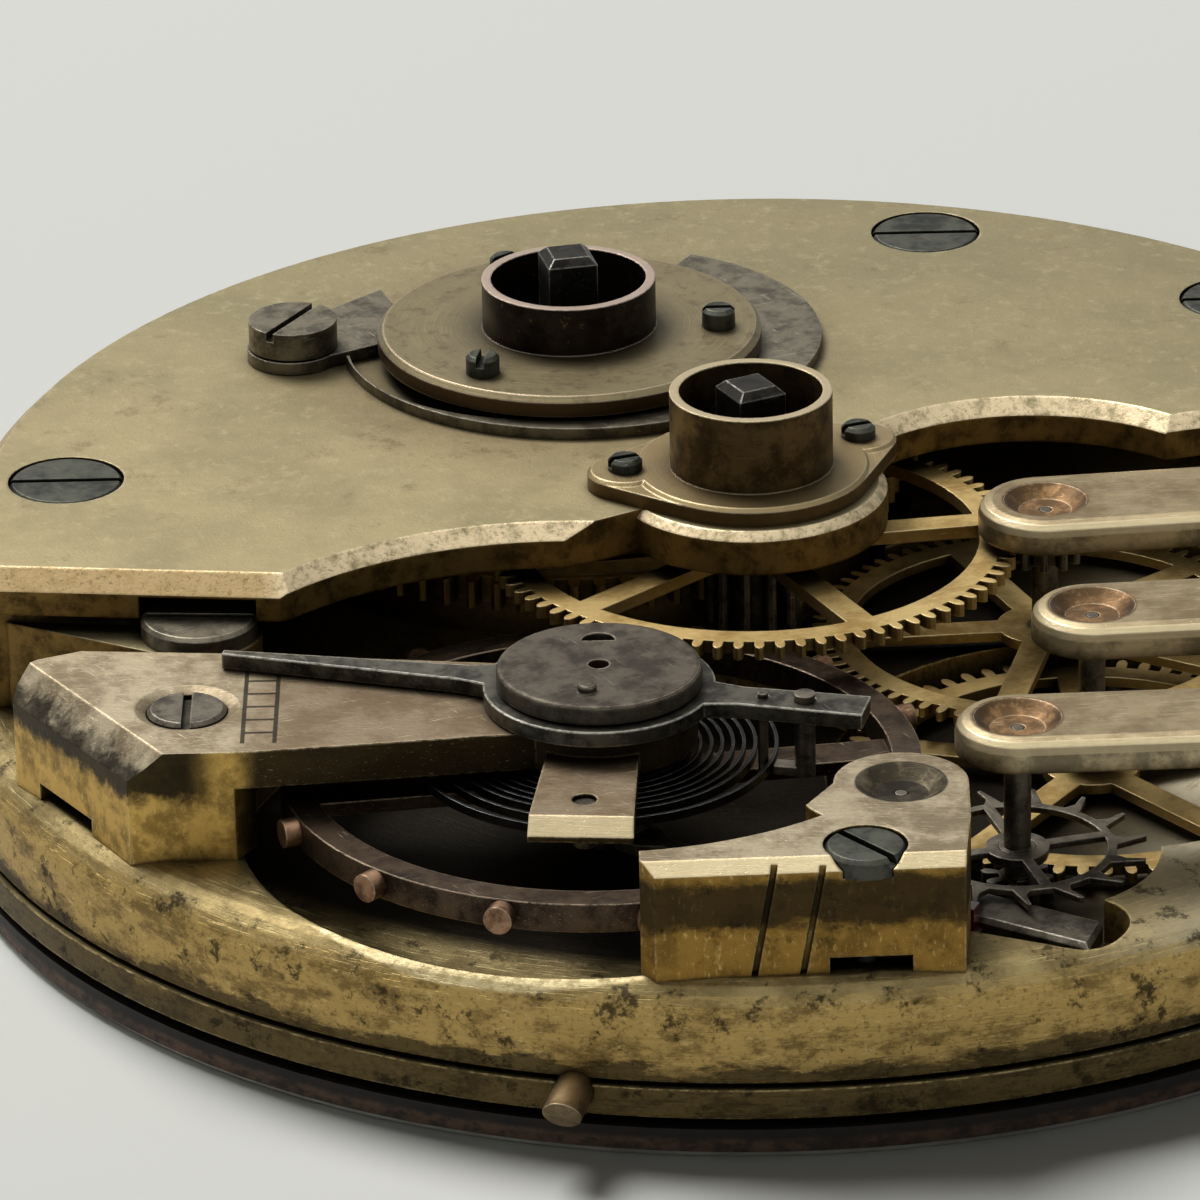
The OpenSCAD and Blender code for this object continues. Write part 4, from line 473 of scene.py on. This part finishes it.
# balance cock: stain over the foot of the outer chamfer and the top of the gold side
def chamferStain(p, side, slope):
    look = cockLook
    tide = p.z + (p.noise(0.6, 5, 0.68, shift=9.0) - 0.5) * 1.3
    high = tide.rise(cockTop - look["sideLow"], cockTop - look["sideHigh"])
    foot = 1 - tide.rise(cockTop - look["footLow"], cockTop - look["footHigh"])
    torn = 0.7 + 0.3 * p.noise(0.9, 5, 0.7, shift=1.5).rise(0.36, 0.6)
    outerEnd = p.away(balanceAxis).rise(look["stainFrom"], look["stainTo"])
    return ((slope * torn * foot).most(side * high) * outerEnd * 0.94).least(0.95)


# balance cock: rose-brown from under the regulator out to the scale, and over the stud's lug
def roseArm(p):
    return p.away(balanceAxis).band(cockLook["rosePlace"], cockLook["roseHalf"], 1.4) * 0.9


# balance cock: cream bevels on the stud's lug alone
def lugBevel(p):
    return (1 - p.away(studCentre).rise(cockLook["lugFrom"], cockLook["lugTo"])) * 0.7


# pallet cock: a dark smear across the upper half of the front face, gold below it
def faceStain(p, side, slope):
    height = p.z + (p.noise(1.1, 6, 0.72, stretch=(2, 2, 1), shift=3.0) - 0.5) * 1.5
    smear = height.band(plateTop + cockLook["smearHeight"], cockLook["smearHalf"], 0.4)
    low = p.noise(0.7, 6, 0.74, shift=13.0).rise(0.56, 0.68)
    return (side * (smear * 0.85 + low * 0.55)).least(0.92)


# pallet cock: every bevel that looks up is cream
def everyBevel(p):
    return p.facingZ.rise(0.3, 0.4)


# two rails and rungs engraved across the balance cock, under the pointer; distances from the balance's axis
scaleLook = {"near": 8.05, "far": 8.85, "half": 2.1, "step": 0.76, "line": 0.045, "soft": 0.02, "dark": 0.85}


def scaleLines(p):
    s = scaleLook
    reach = float(balanceAxis[0]) - p.x
    along = p.y - float(balanceAxis[1])
    onTop = p.facingZ.rise(0.8, 0.95) * p.z.rise(cockTop - 0.1, cockTop - 0.05)
    rails = reach.band(s["near"], s["line"], s["soft"]).most(reach.band(s["far"], s["line"], s["soft"]))
    between = reach.band((s["near"] + s["far"]) / 2, (s["far"] - s["near"]) / 2, s["soft"])
    rungs = along.wave(s["step"] / 2).band(0.0, s["line"], s["soft"]) * between
    return (rails.most(rungs) * abs(along).band(0.0, s["half"], 0.05) * onTop) * s["dark"]


# yellow brass of the wheels, brushed, bright on tooth tips and edges, dark in the corners with grime and a
# painted shade; the peg is duller
brassLook = {
    "face": tone(216, 188, 128), "dull": tone(166, 136, 82), "edge": tone(250, 228, 172),
    "grimeAndShade": tone(20, 14, 7),
}
pegLook = {
    "face": tone(164, 142, 108), "dull": tone(112, 94, 68), "edge": tone(214, 196, 160),
    "grimeAndShade": tone(30, 22, 14),
}


def wheelBrass(name, look):
    p = Paint(name)
    cloud = p.noise(1.3, 5, 0.66)
    brushed = p.noise(0.06, 3, 0.6, stretch=(8, 1, 1), turn=20)
    fine = p.noise(0.25, 5, 0.72, shift=2.0)
    soft, edge = p.rounded(0.05)
    side = 1 - abs(p.facingZ).rise(0.3, 0.6)
    # occlusion mask: tight corners get a painted shade along with their grime
    cornerGrimeAndShade = 1 - p.open(1.0).rise(0.28, 0.85)
    color = p.layers(
        look["face"],
        (cloud.rise(0.38, 0.66), look["dull"]),
        (side * 0.5, look["dull"]),
        (brushed.rise(0.56, 0.74) * 0.4, look["edge"]),
        (edge * (1 - cornerGrimeAndShade) * 0.75, look["edge"]),
        ((cornerGrimeAndShade * 0.85 + fine.rise(0.66, 0.76) * 0.4).least(0.94), look["grimeAndShade"]))
    rough = 0.3 + 0.2 * cloud + 0.08 * brushed - 0.06 * edge
    return p.finish(color, rough, 0.96, p.bump(brushed * 0.7 + fine * 0.4, 0.006, soft))


# turned collars: olive-brown walls, a bright rim, worn along its edges and a painted highlight over the
# collar's top; the winding collar is almost black
settingLook = {
    "face": tone(150, 132, 98), "wall": tone(112, 92, 60), "dark": tone(64, 50, 32),
    "rim": tone(238, 220, 184), "grimeAndShade": tone(22, 16, 10), "band": tone(168, 144, 100),
    "step": tone(104, 84, 54), "axis": (0, 0),
    "radius": 2.13, "flange": 0.5,  # of the collar; top of its flange above the upper plate
}
windingLook = {
    "face": tone(130, 118, 90), "wall": tone(52, 43, 36), "dark": tone(28, 22, 18),
    "rim": tone(236, 212, 194), "grimeAndShade": tone(20, 15, 10), "band": tone(176, 156, 118),
    "step": tone(92, 72, 47), "axis": barrelAxis,
    "radius": 2.35, "flange": 0.99,
}


def turnedCollar(name, look):
    p = Paint(name)
    out = p.away(look["axis"])
    flangeTop = upperTop + look["flange"]
    cloud = p.noise(1.0, 6, 0.68)
    fine = p.noise(0.22, 5, 0.74, shift=5.0)
    rings = p.noise(0.05, 2, 0.6, stretch=(40, 1, 1), on=p.arcs(look["axis"], 3.0))
    side = 1 - abs(p.facingZ).rise(0.2, 0.5)
    collar = 1 - out.rise(look["radius"] + 0.02, look["radius"] + 0.06)
    above = p.z.rise(flangeTop + 0.02, flangeTop + 0.08)
    soft, edge = p.rounded(0.07)
    # occlusion mask: tight corners get a painted shade along with their grime
    cornerGrimeAndShade = 1 - p.open(0.9).rise(0.3, 0.84)
    halo = 1 - out.rise(look["radius"], look["radius"] + 1.3)
    stains = (halo * (0.35 + 0.65 * cloud)).most(p.noise(0.6, 6, 0.72, shift=12.0).rise(0.5, 0.66) * 0.5)
    face = p.layers(
        look["face"],
        (rings.rise(0.5, 0.7) * 0.25, look["band"]),
        (stains * 0.75, look["wall"]))
    wall = p.layers(
        look["wall"],
        (cloud.rise(0.4, 0.62), look["dark"]),
        (fine.rise(0.6, 0.74) * 0.4, look["band"]))
    # rubbed edges, and a painted highlight over the top of the collar above its flange
    rubbed = (edge * (1 - cornerGrimeAndShade) * fine.rise(0.28, 0.5)).most(collar * above * (1 - side) * 0.6)
    color = p.layers(
        p.mix(side.most(collar * above), face, wall),
        (side * (1 - collar) * 0.75, look["step"]),
        (rubbed * 0.85, look["rim"]),
        ((cornerGrimeAndShade * 0.9).least(0.94), look["grimeAndShade"]))
    rough = 0.32 + 0.2 * cloud + 0.08 * fine
    return p.finish(color, rough, 0.94, p.bump(rings * 0.5 + fine * 0.5, 0.01, soft))


# old steel, bronze and copper: clouded, pitted, scratched, bright only where the edges are rubbed, and darker
# in tight corners as a painted shade; on the springs the bright edges are a painted highlight
oldMetals = {
    "darkSteel": {
        "face": tone(114, 107, 95), "dark": tone(64, 59, 53), "worn": tone(200, 192, 176),
        "rust": tone(78, 54, 36), "rough": 0.3, "edge": 0.06, "brightEdge": 0.7, "scratch": 0.4},
    "bluedSteel": {
        "face": tone(82, 82, 73), "dark": tone(46, 48, 45), "worn": tone(150, 148, 134),
        "rust": tone(64, 50, 36), "rough": 0.36, "edge": 0.05, "brightEdge": 0.5, "scratch": 0.15},
    "blackSteel": {
        "face": tone(52, 49, 45), "dark": tone(27, 26, 24), "worn": tone(214, 208, 196),
        "rust": tone(50, 40, 32), "rough": 0.3, "edge": 0.07, "brightEdge": 0.85, "scratch": 0.12},
    "regulatorSteel": {
        "face": tone(100, 96, 87), "dark": tone(46, 44, 40), "worn": tone(234, 228, 214),
        "rust": tone(56, 46, 38), "rough": 0.28, "edge": 0.1, "brightEdge": 1.0, "scratch": 0.2},
    "capSteel": {
        "face": tone(92, 84, 74), "dark": tone(58, 52, 46), "worn": tone(206, 194, 174),
        "rust": tone(78, 60, 48), "rough": 0.4, "edge": 0.08, "brightEdge": 0.9, "scratch": 0.25},
    "greySteel": {
        "face": tone(124, 116, 100), "dark": tone(78, 72, 62), "worn": tone(206, 198, 180),
        "rust": tone(86, 66, 48), "rough": 0.3, "edge": 0.06, "brightEdge": 0.7, "scratch": 0.4},
    # the springs' bright edge colour is a painted highlight along their coil edges
    "springSteel": {
        "face": tone(62, 62, 64), "dark": tone(34, 35, 37), "worn": tone(204, 204, 202),
        "rust": tone(40, 34, 30), "rough": 0.2, "edge": 0.02, "brightEdge": 0.7, "scratch": 0.1},
    "balanceBronze": {
        "face": tone(82, 67, 54), "dark": tone(44, 35, 28), "worn": tone(214, 192, 166),
        "rust": tone(66, 44, 32), "rough": 0.28, "edge": 0.07, "brightEdge": 0.8, "scratch": 0.4},
    "timingScrewGold": {
        "face": tone(164, 130, 103), "dark": tone(92, 68, 52), "worn": tone(240, 210, 178),
        "rust": tone(82, 52, 36), "rough": 0.26, "edge": 0.06, "brightEdge": 0.7, "scratch": 0.4},
}


def oldMetal(name):
    look = oldMetals[name]
    p = Paint(name)
    cloud = p.noise(0.9, 6, 0.7)
    pits = p.noise(0.1, 4, 0.72, shift=3.0)
    fine = p.noise(0.2, 5, 0.74, shift=5.0)
    rusty = p.noise(0.6, 5, 0.7, shift=6.0).rise(0.6, 0.74)
    lines = p.hairlines(24, -58)
    soft, edge = p.rounded(look["edge"])
    # occlusion mask: tight corners get a painted shade
    cornerGrimeAndShade = 1 - p.open(0.5).rise(0.3, 0.85)
    color = p.layers(
        look["face"],
        (cloud.rise(0.4, 0.64), look["dark"]),
        (pits.rise(0.64, 0.8) * 0.2, look["worn"]),
        (rusty * 0.6, look["rust"]),
        (lines * look["scratch"], look["worn"]),
        (edge * (1 - cornerGrimeAndShade) * fine.rise(0.3, 0.56) * look["brightEdge"], look["worn"]),
        (cornerGrimeAndShade * 0.75, tuple(0.3 * c for c in look["dark"])))
    rough = look["rough"] + 0.2 * cloud + 0.12 * pits
    return p.finish(color, rough, 0.94, p.bump(pits * 0.6 + cloud * 0.3 - lines * 0.4, 0.008, soft))


jewelLook = {"deep": tone(120, 24, 40), "light": tone(168, 44, 62), "ior": 1.76, "coat": 0.4}


def redJewel():
    look = jewelLook
    p = Paint("redJewel")
    color = p.mix(p.noise(0.3, 2, 0.5), look["deep"], look["light"])
    return p.finish(color, 0.12 + 0.05 * p.noise(0.1), 0.0, IOR=look["ior"], Coat_Weight=look["coat"])


# enamel on a copper back: a white lip below, brown over it, black where the plate's groove shades it
dialLook = {
    "enamel": tone(216, 214, 206), "shade": tone(186, 182, 172), "back": tone(98, 74, 58),
    "dirt": tone(34, 26, 20), "black": tone(9, 7, 6), "lip": 0.22, "shadeFrom": 0.58,
}


def enamelDial():
    look = dialLook
    p = Paint("enamelDial")
    edge = p.z.rise(look["lip"] - 0.03, look["lip"] + 0.03)
    under = p.z.rise(look["shadeFrom"] - 0.08, look["shadeFrom"] + 0.08)
    white = p.mix(p.noise(2.0, 5, 0.6).rise(0.4, 0.7), look["enamel"], look["shade"])
    mottle = p.noise(0.6, 6, 0.7, stretch=(1, 1, 0.6)).rise(0.35, 0.65)
    back = p.mix(mottle, look["back"], look["dirt"])
    color = p.layers(white, (edge, back), (edge * under * 0.9, look["black"]))
    rough = 0.16 + 0.4 * edge + 0.1 * p.noise(0.5)
    return p.finish(color, rough, 0.25 * edge, p.bump(p.noise(0.3, 3, 0.5) * edge, 0.01))


upper = upperGilt()
finger = fingerGilt()
plate = scuffedPlate()
balanceCock = wornCock("balanceCockBrass", cockLook["balanceGoldLit"], chamferStain, roseArm, scaleLines,
                       lugBevel)
palletCock = wornCock("palletCockBrass", cockLook["palletGold"], faceStain, creamPart=everyBevel,
                      sinkAt=centreOf("pallet_arbor"))
brass = wheelBrass("wheelBrass", brassLook)
peg = wheelBrass("pegBrass", pegLook)
settingCollar = turnedCollar("settingCollarBrass", settingLook)
windingCollar = turnedCollar("windingCollarBrass", windingLook)
(steel, blued, black, regulator, cap, grey, springSteel, bronze,
 copper) = [oldMetal(name) for name in oldMetals]
jewel = redJewel()
enamel = enamelDial()
dressing = [
    (plate, "main_plate"), (upper, "upper_plate"), (finger, "third_bridge fourth_bridge escape_bridge"),
    (palletCock, "pallet_cock"), (balanceCock, "balance_cock"), (windingCollar, "ratchet_cap"),
    (settingCollar, "setting_collar"), (peg, "case_pin"), (copper, "timing_screws_set"),
    (bronze, "balance_wheel"), (brass, "barrel_drum barrel_cover center_wheel third_wheel fourth_wheel"),
    (brass, "minute_wheel hour_wheel dial_pins hairspring_collet"),
    (blued, "plate_screws bridge_screws pallet_cock_screw ratchet_cap_screws setting_collar_screws"),
    (grey, "click_screw foot_screw click_spring click"),
    (steel, "hairspring_stud curb_pins balance_cock_screw ratchet_wheel escape_wheel pallet_lever"),
    (steel, "center_pinion cannon_pinion third_pinion fourth_pinion escape_pinion"),
    (steel, "pallet_arbor balance_staff roller"),
    (black, "barrel_arbor setting_arbor"), (cap, "endstone_cap"), (regulator, "regulator"),
    (jewel, "balance_jewel endstone pallet_stones"), (enamel, "dial"), (springSteel, "hairspring mainspring"),
]
finishes = {node: finish for finish, names in dressing for node in names.split()}
for name, node in nodes.items():
    node.material_slots[0].material = finishes[name]
print("finishes on", len(finishes), "nodes")


# a closed strip: a profile of corners carried along a path, with flat ends
def strip(name, rings, material):
    count, corners = rings.shape[:2]
    points = rings.reshape(-1, 3) * mm
    at = np.arange(count * corners).reshape(count, corners)
    here, there = at[:-1], at[1:]
    quads = np.stack([here, np.roll(here, -1, 1), np.roll(there, -1, 1), there], 2).reshape(-1, 4)
    faces = quads.tolist() + [at[0][::-1].tolist(), at[-1].tolist()]
    mesh = bpy.data.meshes.new(name)
    mesh.from_pydata(points.tolist(), [], faces)
    mesh.materials.append(material)
    mesh.update()
    piece = bpy.data.objects.new(name, mesh)
    bpy.context.scene.collection.objects.link(piece)
    return piece


# flat spiral: the radius runs through the given points, counted in turns back from its outer end;
# the ribbon's profile is a small upright rectangle
def spiralRibbon(name, look, centre, turnsBack, radii, endAngle, low, high):
    back = np.linspace(turnsBack[-1], 0, int(turnsBack[-1] * look["perTurn"]) + 1)
    angle = np.radians(endAngle) - back * 2 * np.pi
    radius = np.interp(back, turnsBack, radii)
    out = np.stack([np.cos(angle), np.sin(angle)], 1)
    inside, outside = [(radius + s * look["thick"] / 2)[:, None] * out + centre[:2] for s in (-1, 1)]
    corners = [(inside, low), (outside, low), (outside, high), (inside, high)]
    rings = np.stack([np.column_stack([xy, np.full(len(back), z)]) for xy, z in corners], 1)
    return strip(name, rings, springSteel)


# close coils inside, a wide last coil that passes between the regulator's pins and ends in the stud
hairspringLook = {
    "turns": 13.0, "wideTurns": 1.8, "widePitch": 0.53, "thick": 0.085, "perTurn": 96,
    "gap": 0.02,  # between the collet and the first coil
}


def windHairspring():
    look = hairspringLook
    low, high = boxOf("hairspring")
    studReach = studCentre[:2] - balanceAxis[:2]
    outer = float(np.hypot(*studReach))
    wideEnd = outer - look["wideTurns"] * look["widePitch"]
    inner = boxOf("hairspring_collet")[1][0] - balanceAxis[0] + look["thick"] / 2 + look["gap"]
    endAngle = math.degrees(math.atan2(studReach[1], studReach[0]))
    turnsBack = [0, look["wideTurns"], look["turns"]]
    radii = [outer, wideEnd, inner]
    return spiralRibbon("hairspringRibbon", look, balanceAxis, turnsBack, radii, endAngle, low[2], high[2])


hairspring = windHairspring()
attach(hairspring, "plate")
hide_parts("hairspring")

mainspringLook = {"thick": 0.22, "pitch": 0.65, "inner": 2.01, "endAngle": 40.0, "perTurn": 64}


def windMainspring():
    look = mainspringLook
    low, high = boxOf("mainspring")
    reach = np.abs(np.concatenate([low[:2] - barrelAxis[:2], high[:2] - barrelAxis[:2]]))
    outer = float(np.max(reach)) - look["thick"] / 2
    turnsBack = [0, (outer - look["inner"]) / look["pitch"]]
    radii, endAngle = [outer, look["inner"]], look["endAngle"]
    return spiralRibbon("mainspringRibbon", look, barrelAxis, turnsBack, radii, endAngle, low[2], high[2])


mainspring = windMainspring()
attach(mainspring, "barrel")
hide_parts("mainspring")
print("springs wound")


# table top, pale, running out of the picture; far from the watch it is the room's own tone
tableLook = {
    "color": tone(238, 240, 235), "mottle": tone(230, 232, 227), "mottleSize": 60, "rough": 0.8,
    "size": 4000.0, "below": 0.01,
    "clearFrom": 60.0, "clearTo": 160.0,  # from here to here it turns into the room's tone
}
# a pale room: what is seen of it, the ceiling and walls that shine in the metal, and a weak fill
roomLook = {
    "seen": tone(219, 221, 217), "ceiling": 1.7, "wall": 0.62, "ceilingFrom": 0.55, "ceilingTo": 0.95,
    "fill": 0.042, "fillColor": (0.97, 0.99, 1.0, 1),
}


# rays that show a thing as it is seen: straight to the camera, in a reflection, through glass
def seenRays(tree):
    rays = tree.make("ShaderNodeLightPath")
    return [Field(tree, rays.outputs[k]) for k in ("Is Camera Ray", "Is Glossy Ray", "Is Transmission Ray")]


def table():
    look = tableLook
    p = Paint("tableTop")
    mottle = p.noise(look["mottleSize"], 3, 0.5) * 0.25
    p.finish(p.mix(mottle, look["color"], look["mottle"]), look["rough"], 0.0)
    sees, shines, passes = seenRays(p)
    far = p.away((0, 0)).rise(look["clearFrom"], look["clearTo"])
    plain = p.make("ShaderNodeEmission", {}, {0: (*roomLook["seen"], 1), 1: 1.0})
    both = p.make("ShaderNodeMixShader", {}, {
        0: far * sees.most(shines).most(passes), 1: p.shader.outputs[0], 2: plain.outputs[0]})
    p.feed(p.out.inputs[0], both.outputs[0])
    half, low = look["size"] / 2, -look["below"]
    corners = np.array([[-half, -half, low], [half, -half, low], [half, half, low], [-half, half, low]]) * mm
    mesh = bpy.data.meshes.new("tableTop")
    mesh.from_pydata(corners.tolist(), [], [(0, 1, 2, 3)])
    mesh.materials.append(p.material)
    top = bpy.data.objects.new("tableTop", mesh)
    bpy.context.scene.collection.objects.link(top)


def room():
    look = roomLook
    world = bpy.data.worlds.new("room")
    t = Tree(world)
    sees, shines, passes = seenRays(t)
    toward = t.make("ShaderNodeSeparateXYZ", {}, {0: t.make("ShaderNodeTexCoord").outputs["Generated"]})
    overhead = Field(t, toward.outputs[2]).rise(look["ceilingFrom"], look["ceilingTo"])
    shine = look["wall"] + (look["ceiling"] - look["wall"]) * overhead
    level = 1 - shines + shines * shine
    seen = t.make("ShaderNodeBackground", {}, {0: (*look["seen"], 1), 1: level})
    fill = t.make("ShaderNodeBackground", {}, {0: look["fillColor"], 1: look["fill"]})
    pick = t.make("ShaderNodeMixShader", {}, {
        0: sees.most(shines).most(passes), 1: fill.outputs[0], 2: seen.outputs[0]})
    t.make("ShaderNodeOutputWorld", {}, {0: pick.outputs[0]})
    bpy.context.scene.world = world


# one soft window behind and to the left, places and sizes in millimetres
lamps = {"window": {"from": (-640, 800, 1440), "size": 960, "watts": 28.8, "color": (1.0, 0.99, 0.97)}}


def lamp(name, look):
    light = bpy.data.lights.new(name, "AREA")
    light.shape = "DISK"
    light.size = look["size"] * mm
    light.energy = look["watts"]
    light.color = look["color"]
    holder = bpy.data.objects.new(name, light)
    place = np.array(look["from"], float)
    back = place / np.linalg.norm(place)
    right = np.cross((0, 0, 1), back)
    right /= np.linalg.norm(right)
    up = np.cross(back, right)
    turn = Matrix([[right[i], up[i], back[i], place[i] * mm] for i in range(3)] + [[0, 0, 0, 1]])
    holder.matrix_world = turn
    bpy.context.scene.collection.objects.link(holder)


table()
room()
for name, look in lamps.items():
    lamp(name, look)
print("table laid and room lit")


# the camera that was fitted to the plate's edges: place and lens in millimetres, angles in degrees
cameraLook = {
    "from": (-4.032, -191.808, 91.939), "down": 24.32, "roll": -1.2, "lens": 240.0, "sensor": 36.0,
    "clipNear": 0.01, "clipFar": 20.0,  # metres
}


def camera():
    look = cameraLook
    data = bpy.data.cameras.new("camera")
    data.lens = look["lens"]
    data.sensor_width = look["sensor"]
    data.clip_start = look["clipNear"]
    data.clip_end = look["clipFar"]
    down, roll = math.radians(look["down"]), math.radians(look["roll"])
    ahead = np.array([0, math.cos(down), -math.sin(down)])
    up = np.array([0, math.sin(down), math.cos(down)])
    side = np.array([1.0, 0, 0])
    right = math.cos(roll) * side + math.sin(roll) * up
    above = -math.sin(roll) * side + math.cos(roll) * up
    place = np.array(look["from"]) * mm
    holder = bpy.data.objects.new("camera", data)
    turn = Matrix([[right[i], above[i], -ahead[i], place[i]] for i in range(3)] + [[0, 0, 0, 1]])
    holder.matrix_world = turn
    bpy.context.scene.collection.objects.link(holder)
    bpy.context.scene.camera = holder


camera()
bpy.context.scene.view_settings.view_transform = "Standard"
print("scene ready")
